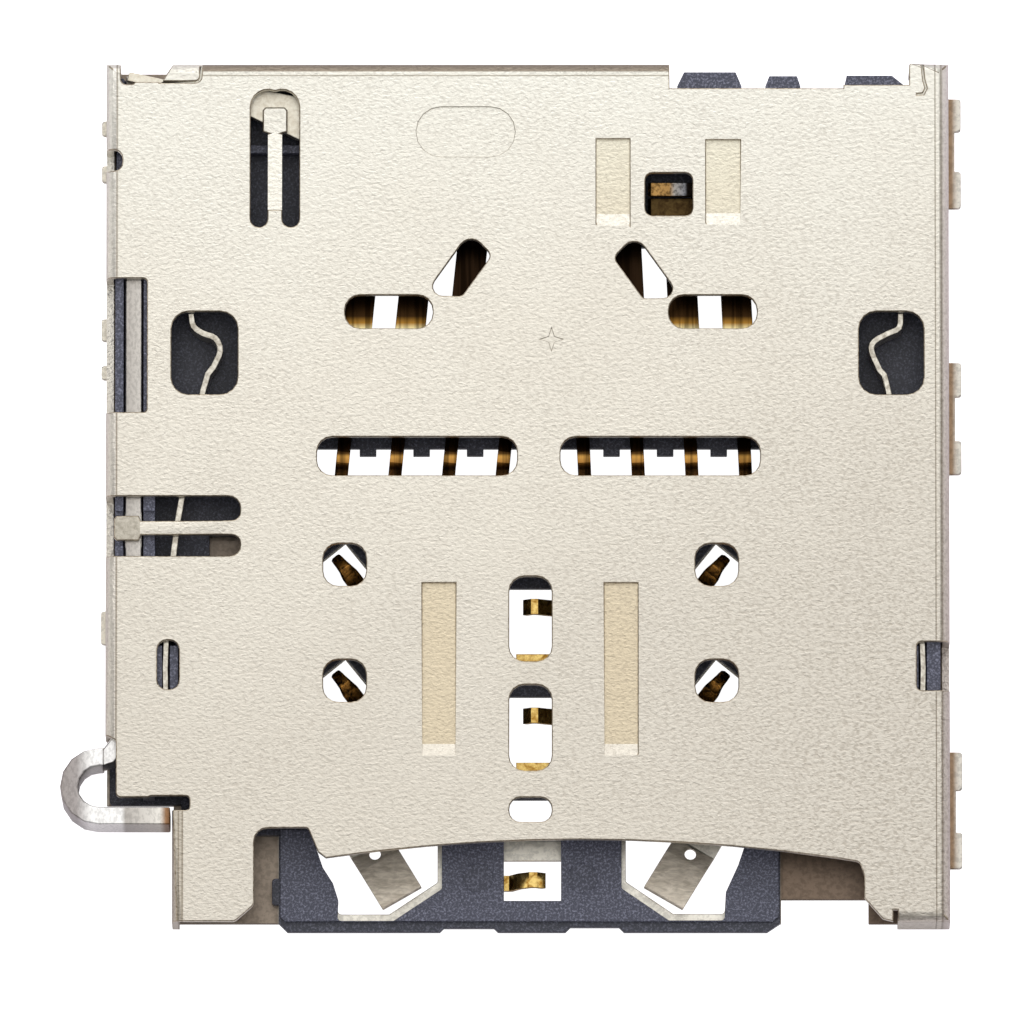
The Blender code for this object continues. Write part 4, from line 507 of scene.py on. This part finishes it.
def refill_upper_plane(bm):
    """Fills the cover's upper plane afresh between its rims, so that no face there is folded over."""
    bm.normal_update()
    plane = []
    for face in bm.faces:
        level = min(vert.co.z for vert in face.verts)
        if abs(face.normal.z) > 0.9995 and level > HEIGHT - 0.0005:
            plane.append(face)
    bmesh.ops.delete(bm, geom=plane, context="FACES")
    rims = [edge for edge in bm.edges if edge.is_boundary]
    bmesh.ops.triangle_fill(bm, edges=rims, use_beauty=True, use_dissolve=False, normal=(0, 0, 1))


def is_flat(face):
    """Whether a face lies level, or is a ramp well inside the folds."""
    middle = face.calc_center_median()
    return abs(face.normal.z) > 0.9995 or (inside(middle, WITHIN_FOLDS) and face.normal.z > 0.9)


def shade(bm, sharpest=50):
    """Shades a piece smooth, with a crease at each sharp corner and round each flat."""
    for edge in bm.edges:
        turn = edge.calc_face_angle(0.0)
        beside_flat = any(is_flat(face) for face in edge.link_faces)
        crease = math.radians(0.5 if beside_flat else sharpest)
        edge.smooth = turn < crease
    for face in bm.faces:
        face.smooth = True


def finished(node, bm, surfaces, body):
    """Puts a finished piece in a CAD node's place, riding on its body, with its flats kept flat."""
    join_flats(bm)
    bm.normal_update()
    shade(bm)
    bmesh.ops.scale(bm, vec=(MM, MM, MM), verts=bm.verts)
    mesh = bpy.data.meshes.new(f"{node}_finished")
    bm.to_mesh(mesh)
    bm.free()
    piece = bpy.data.objects.new(f"{node}_finished", mesh)
    bpy.context.scene.collection.objects.link(piece)
    for surface in surfaces:
        mesh.materials.append(surface)
    shading = piece.modifiers.new("flat_faces_stay_flat", "WEIGHTED_NORMAL")
    shading.keep_sharp = True
    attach(piece, body)
    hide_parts(node)


def rounded_piece(node, surface, width, body):
    """A CAD node's own shape with its outer corners rounded and one finish."""
    bm = merged_copy(node)
    round_corners(bm, width)
    finished(node, bm, (surface,), body)


def make_shell():
    """Folded cover, with rolled-over rims round its windows and burnished pressed strips.

    Its finishes are numbered: 0 the sheet, 1 the strips, 2 the rims, 3 the edges of the marks and
    of the fingers' heads, and 4 the side finger's head.
    """
    sheet = satin_nickel_sheet("satin_nickel_plated_sheet", "#F2EFE4", "#EAE4D7", "#DDD6C9", "#D4CDC1")
    strip = satin_nickel_sheet("burnished_pressed_strip", "#F0ECDA", "#E4D8BF", "#DCCDB1", "#D8CBB2")
    # painted shade: dark edges round the stamped marks and the fingers' heads
    outline = metal("painted_shade_edge_of_stamped_mark", "#6E6356", "#A39886", 0.09, 0.40)
    # the rims' browner cut metal, painted darker still as painted shade along the windows' edges
    rim = metal("punched_sheet_rim_with_painted_shade", "#8A7B68", "#C9BDA9", 0.09, 0.34)
    rubbed = metal("rubbed_finger_head", "#A8A193", "#C9C2B4", 0.08, 0.38)
    bm = merged_copy("shell", SHELL_WELD)
    join_flats(bm, SHELL_JOIN_ANGLE)
    bm.normal_update()
    pressed = HEIGHT - PRESS_DEPTH
    for face in bm.faces:
        centre = face.calc_center_median()
        strip_here = all(inside(vert.co, STRIPS) for vert in face.verts)
        if strip_here and face.normal.z > 0.99 and abs(centre.z - pressed) < 0.01:
            face.material_index = 1
        head_here = all(inside(vert.co, SIDE_FINGER_HEAD) for vert in face.verts)
        if head_here and SIDE_HEAD_DEPTHS[0] < HEIGHT - centre.z < SIDE_HEAD_DEPTHS[1]:
            face.material_index = 4
    round_corners(bm, RIM_ROUND, surface=2, above=HEIGHT - RIM_REACH, walls=CUT_WALLS)
    round_corners(bm, MARK_ROUND, surface=3, above=HEIGHT - RIM_REACH, walls=MARK_WALLS)
    refill_upper_plane(bm)
    heads_from = HEIGHT - FINGER_HEAD_REACH
    for head in (BACK_FINGER_HEAD, SIDE_FINGER_HEAD):
        round_corners(bm, FINGER_HEAD_ROUND, surface=3, above=heads_from, walls=CUT_WALLS, box=head)
    finished("shell", bm, (sheet, strip, rim, outline, rubbed), "socket")


def make_contacts():
    """Gold-plated contacts, painted browner and darker where they run back under the sheet as painted shade,
    with painted highlight bands on the beams.
    """
    # painted shade where the beams run under the sheet, and painted highlights in bright bands such as at
    # 3.56 mm
    beam = banded_metal(
        "gold_plated_beam_painted_light_and_shade", "Y",
        (
            (0.40, "#8A5E34"), (0.50, "#E0A868"), (0.56, "#C8935A"), (0.62, "#5E3E22"), (0.70, "#9A6A34"),
            (0.86, "#C8964C"), (0.92, "#4A3218"), (1.30, "#33220F"), (3.30, "#C9A24A"),
            (3.56, "#F4E2A8"), (3.68, "#A87A34"), (3.82, "#3E2A16"), (4.30, "#2A1D12"), (6.4, "#241A12"),
        ),
        0.11, (1.0, 0.04, 0.04), contrast=0.6,
    )
    gold = metal("gold_plated_finger", "#A0742C", "#F0D080", 0.14, 0.26)
    # painted shade: the sim fingers are painted mostly dark brown
    dark_gold = metal("gold_finger_painted_dark", "#24180E", "#C08A44", 0.11, 0.26)
    surfaces = dict.fromkeys(ROW_CONTACTS, beam)
    surfaces.update(dict.fromkeys(SIM_CONTACTS, dark_gold))
    surfaces.update(dict.fromkeys(CENTRE_CONTACTS, gold))
    for node, surface in surfaces.items():
        bm = merged_copy(node)
        if node in SIM_CONTACTS:
            round_tip(bm, CONTACT_TIP_ROUND, TIP_HEIGHT, TIP_EDGE)
        round_corners(bm, CONTACT_ROUND)
        finished(node, bm, (surface,), "socket")
    # painted shade: the switch spring turns near black from 3.6 mm on
    spring = banded_metal(
        "gold_plated_switch_spring_painted_shade", "X",
        ((2.7, "#7A5428"), (2.95, "#B48C54"), (3.24, "#A8824E"), (3.34, "#A29C94"), (3.54, "#86868A"),
         (3.60, "#15110E"), (6.4, "#15110E")),
        0.06, (1.0, 1.0, 1.0), contrast=0.6,
    )
    # a dark brown leaf all over
    lower = metal("dark_brown_switch_leaf", "#3A2A18", "#5C4A2C", 0.12, 0.42)
    rounded_piece("detect_spring", spring, CONTACT_ROUND, "socket")
    rounded_piece("detect_contact", lower, CONTACT_ROUND, "socket")


def make_base_frame():
    """Frame stamped from tinned sheet: pale where it shows at the sides, painted paler on the middle ledge
    and darker under the cover as painted light and shade.
    """
    # painted shade on the dark bands under the cover, painted light on the pale middle ledge
    tinned = banded_metal(
        "tinned_frame_sheet_painted_shade", "X",
        (
            (-8.6, "#EFEADC"), (-8.32, "#E6DFD0"), (-8.25, "#918477"), (-4.78, "#978A7C"),
            (-4.72, "#F6F1E4"), (5.40, "#F6F1E4"), (5.50, "#7F6E5F"), (8.90, "#867567"),
            (8.95, "#A08468"), (9.10, "#A89078"), (9.13, "#EAE5DA"), (9.4, "#DAD6CC"),
        ),
        0.10, (1.0, 1.0, 1.0), roughness=0.40, contrast=0.22,
    )
    blade = metal("brushed_blade", "#CABEAC", "#F4EADA", 0.14, 0.62, 0.004, (0.5, 1.5, 1.0), bloom=0.45)
    bm = merged_copy("base_frame")
    for face in bm.faces:
        if face.calc_center_median().z > FRAME_SHEET_TOP:
            face.material_index = 1
    round_feet(bm, SHELL_LEFT - FOOT_CLEAR_LEFT, SHELL_RIGHT + FOOT_CLEAR_RIGHT, FOOT_ROUND)
    round_corners(bm, STRIP_ROUND)
    finished("base_frame", bm, (tinned, blade), "socket")


def make_rod_and_lever():
    """The two moving pieces: a tumbled steel rod, painted grey at its outer end and brown towards its inner
    end as painted shade, and a satin lever.
    """
    # painted shade: grey at the rod's outer end, brown from -7.08 mm inwards
    steel = banded_metal(
        "tumbled_steel_rod_painted_shade", "X",
        (
            (-9.3, "#A59D99"), (-8.90, "#ACA5A2"), (-8.60, "#FDFBF8"), (-7.98, "#FDFBF8"),
            (-7.90, "#B9B3AC"), (-7.20, "#ECE7DE"), (-7.08, "#9E7858"), (-6.9, "#80583C"),
        ),
        0.06, (1.0, 0.6, 1.0), roughness=0.36, contrast=0.20,
    )
    rounded_piece("push_rod", steel, ROD_ROUND, "push_rod")
    satin = metal("satin_lever_sheet", "#D8CFBC", "#F0EADA", 0.10, 0.40)
    rounded_piece("ejector_lever", satin, STRIP_ROUND, "ejector_lever")


def make_springs_and_rivet():
    """Bright spring strips that grip the tray, and the rivet of the same tone, which keeps its CAD mesh."""
    bright = metal("bright_spring_strip", "#A69E90", "#EAE4D6", 0.12, 0.30)
    for node in LATCH_SPRINGS:
        rounded_piece(node, bright, STRIP_ROUND, "socket")
    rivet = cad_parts["lever_pivot"].data
    rivet.materials.clear()
    rivet.materials.append(bright)


def make_floor():
    """White light table: it glows white to the eye and lends the metal only a soft grey."""
    surface, tree, shader = new_material("white_light_table")
    rays = add(tree, "ShaderNodeLightPath")
    glow = add(
        tree, "ShaderNodeMapRange", links={"Value": rays.outputs["Is Camera Ray"]},
        values={"To Min": FLOOR_TO_METAL, "To Max": FLOOR_TO_EYE},
    )
    shader.inputs["Base Color"].default_value = linear("#EFEAF2")
    shader.inputs["Roughness"].default_value = 0.8
    shader.inputs["Emission Color"].default_value = (1.0, 1.0, 1.0, 1.0)
    tree.links.new(glow.outputs["Result"], shader.inputs["Emission Strength"])
    bm = bmesh.new()
    bmesh.ops.create_grid(bm, x_segments=1, y_segments=1, size=FLOOR_HALF)
    bmesh.ops.translate(bm, verts=bm.verts, vec=(0, 0, -FLOOR_DROP))
    mesh = bpy.data.meshes.new("floor")
    bm.to_mesh(mesh)
    bm.free()
    floor = bpy.data.objects.new("floor", mesh)
    mesh.materials.append(surface)
    bpy.context.scene.collection.objects.link(floor)


def area_light(name, place, size, radiance):
    """Soft light aimed at the socket, of a given brightness seen from it."""
    data = bpy.data.lights.new(name, "AREA")
    data.shape = "RECTANGLE"
    data.size, data.size_y = size
    data.energy = radiance * math.pi * size[0] * size[1]
    lamp = bpy.data.objects.new(name, data)
    lamp.location = place
    lamp.rotation_euler = Vector(place).to_track_quat("Z", "Y").to_euler()
    lamp.visible_camera = False
    bpy.context.scene.collection.objects.link(lamp)


def make_light():
    """Softboxes overhead and behind, low panels on three sides, and a room darker at its horizon."""
    area_light("overhead_softbox", (0.0, 0.05, 0.50), (0.60, 0.42), 0.62)
    area_light("rear_softbox", (0.0, 0.36, 0.36), (0.60, 0.24), 1.5)
    area_light("rear_panel", (0.0, 0.48, 0.15), (0.60, 0.14), 1.3)
    area_light("left_panel", (-0.46, 0.0, 0.14), (0.60, 0.16), 1.2)
    area_light("right_panel", (0.46, 0.0, 0.14), (0.60, 0.16), 1.2)
    world = bpy.data.worlds.new("dim_room")
    world.use_nodes = True
    tree = world.node_tree
    backdrop = tree.nodes["Background"]
    looking = add(tree, "ShaderNodeTexCoord").outputs["Generated"]
    spots = add(tree, "ShaderNodeSeparateXYZ", links={"Vector": looking})
    level = add(
        tree, "ShaderNodeMapRange", links={"Value": spots.outputs["Z"]},
        values={"From Min": 0.05, "From Max": 0.9, "To Min": ROOM_LOW, "To Max": ROOM_HIGH},
    )
    backdrop.inputs["Color"].default_value = (1.0, 1.0, 1.0, 1.0)
    tree.links.new(level.outputs["Result"], backdrop.inputs["Strength"])
    bpy.context.scene.world = world


def make_camera():
    """Long lens above the socket, leaning over its mouth."""
    data = bpy.data.cameras.new("camera")
    data.lens = VIEW_LENS
    data.sensor_width = VIEW_SENSOR
    data.clip_start = 0.005
    data.clip_end = 10.0
    camera = bpy.data.objects.new("camera", data)
    back = Vector((0.0, -math.cos(VIEW_ELEVATION), math.sin(VIEW_ELEVATION)))
    above = (HEIGHT * MM - VIEW_TARGET.z) * math.sin(VIEW_ELEVATION)
    distance = VIEW_WIDTH * VIEW_LENS / VIEW_SENSOR + above
    camera.location = VIEW_TARGET + back * distance
    camera.rotation_euler = back.to_track_quat("Z", "Y").to_euler()
    bpy.context.scene.collection.objects.link(camera)
    bpy.context.scene.camera = camera


make_shell()
make_contacts()
rounded_piece("housing", black_moulding(), MOULDING_ROUND, "socket")
make_base_frame()
make_rod_and_lever()
make_springs_and_rivet()
make_floor()
make_light()
make_camera()
bpy.context.scene.view_settings.view_transform = "Standard"
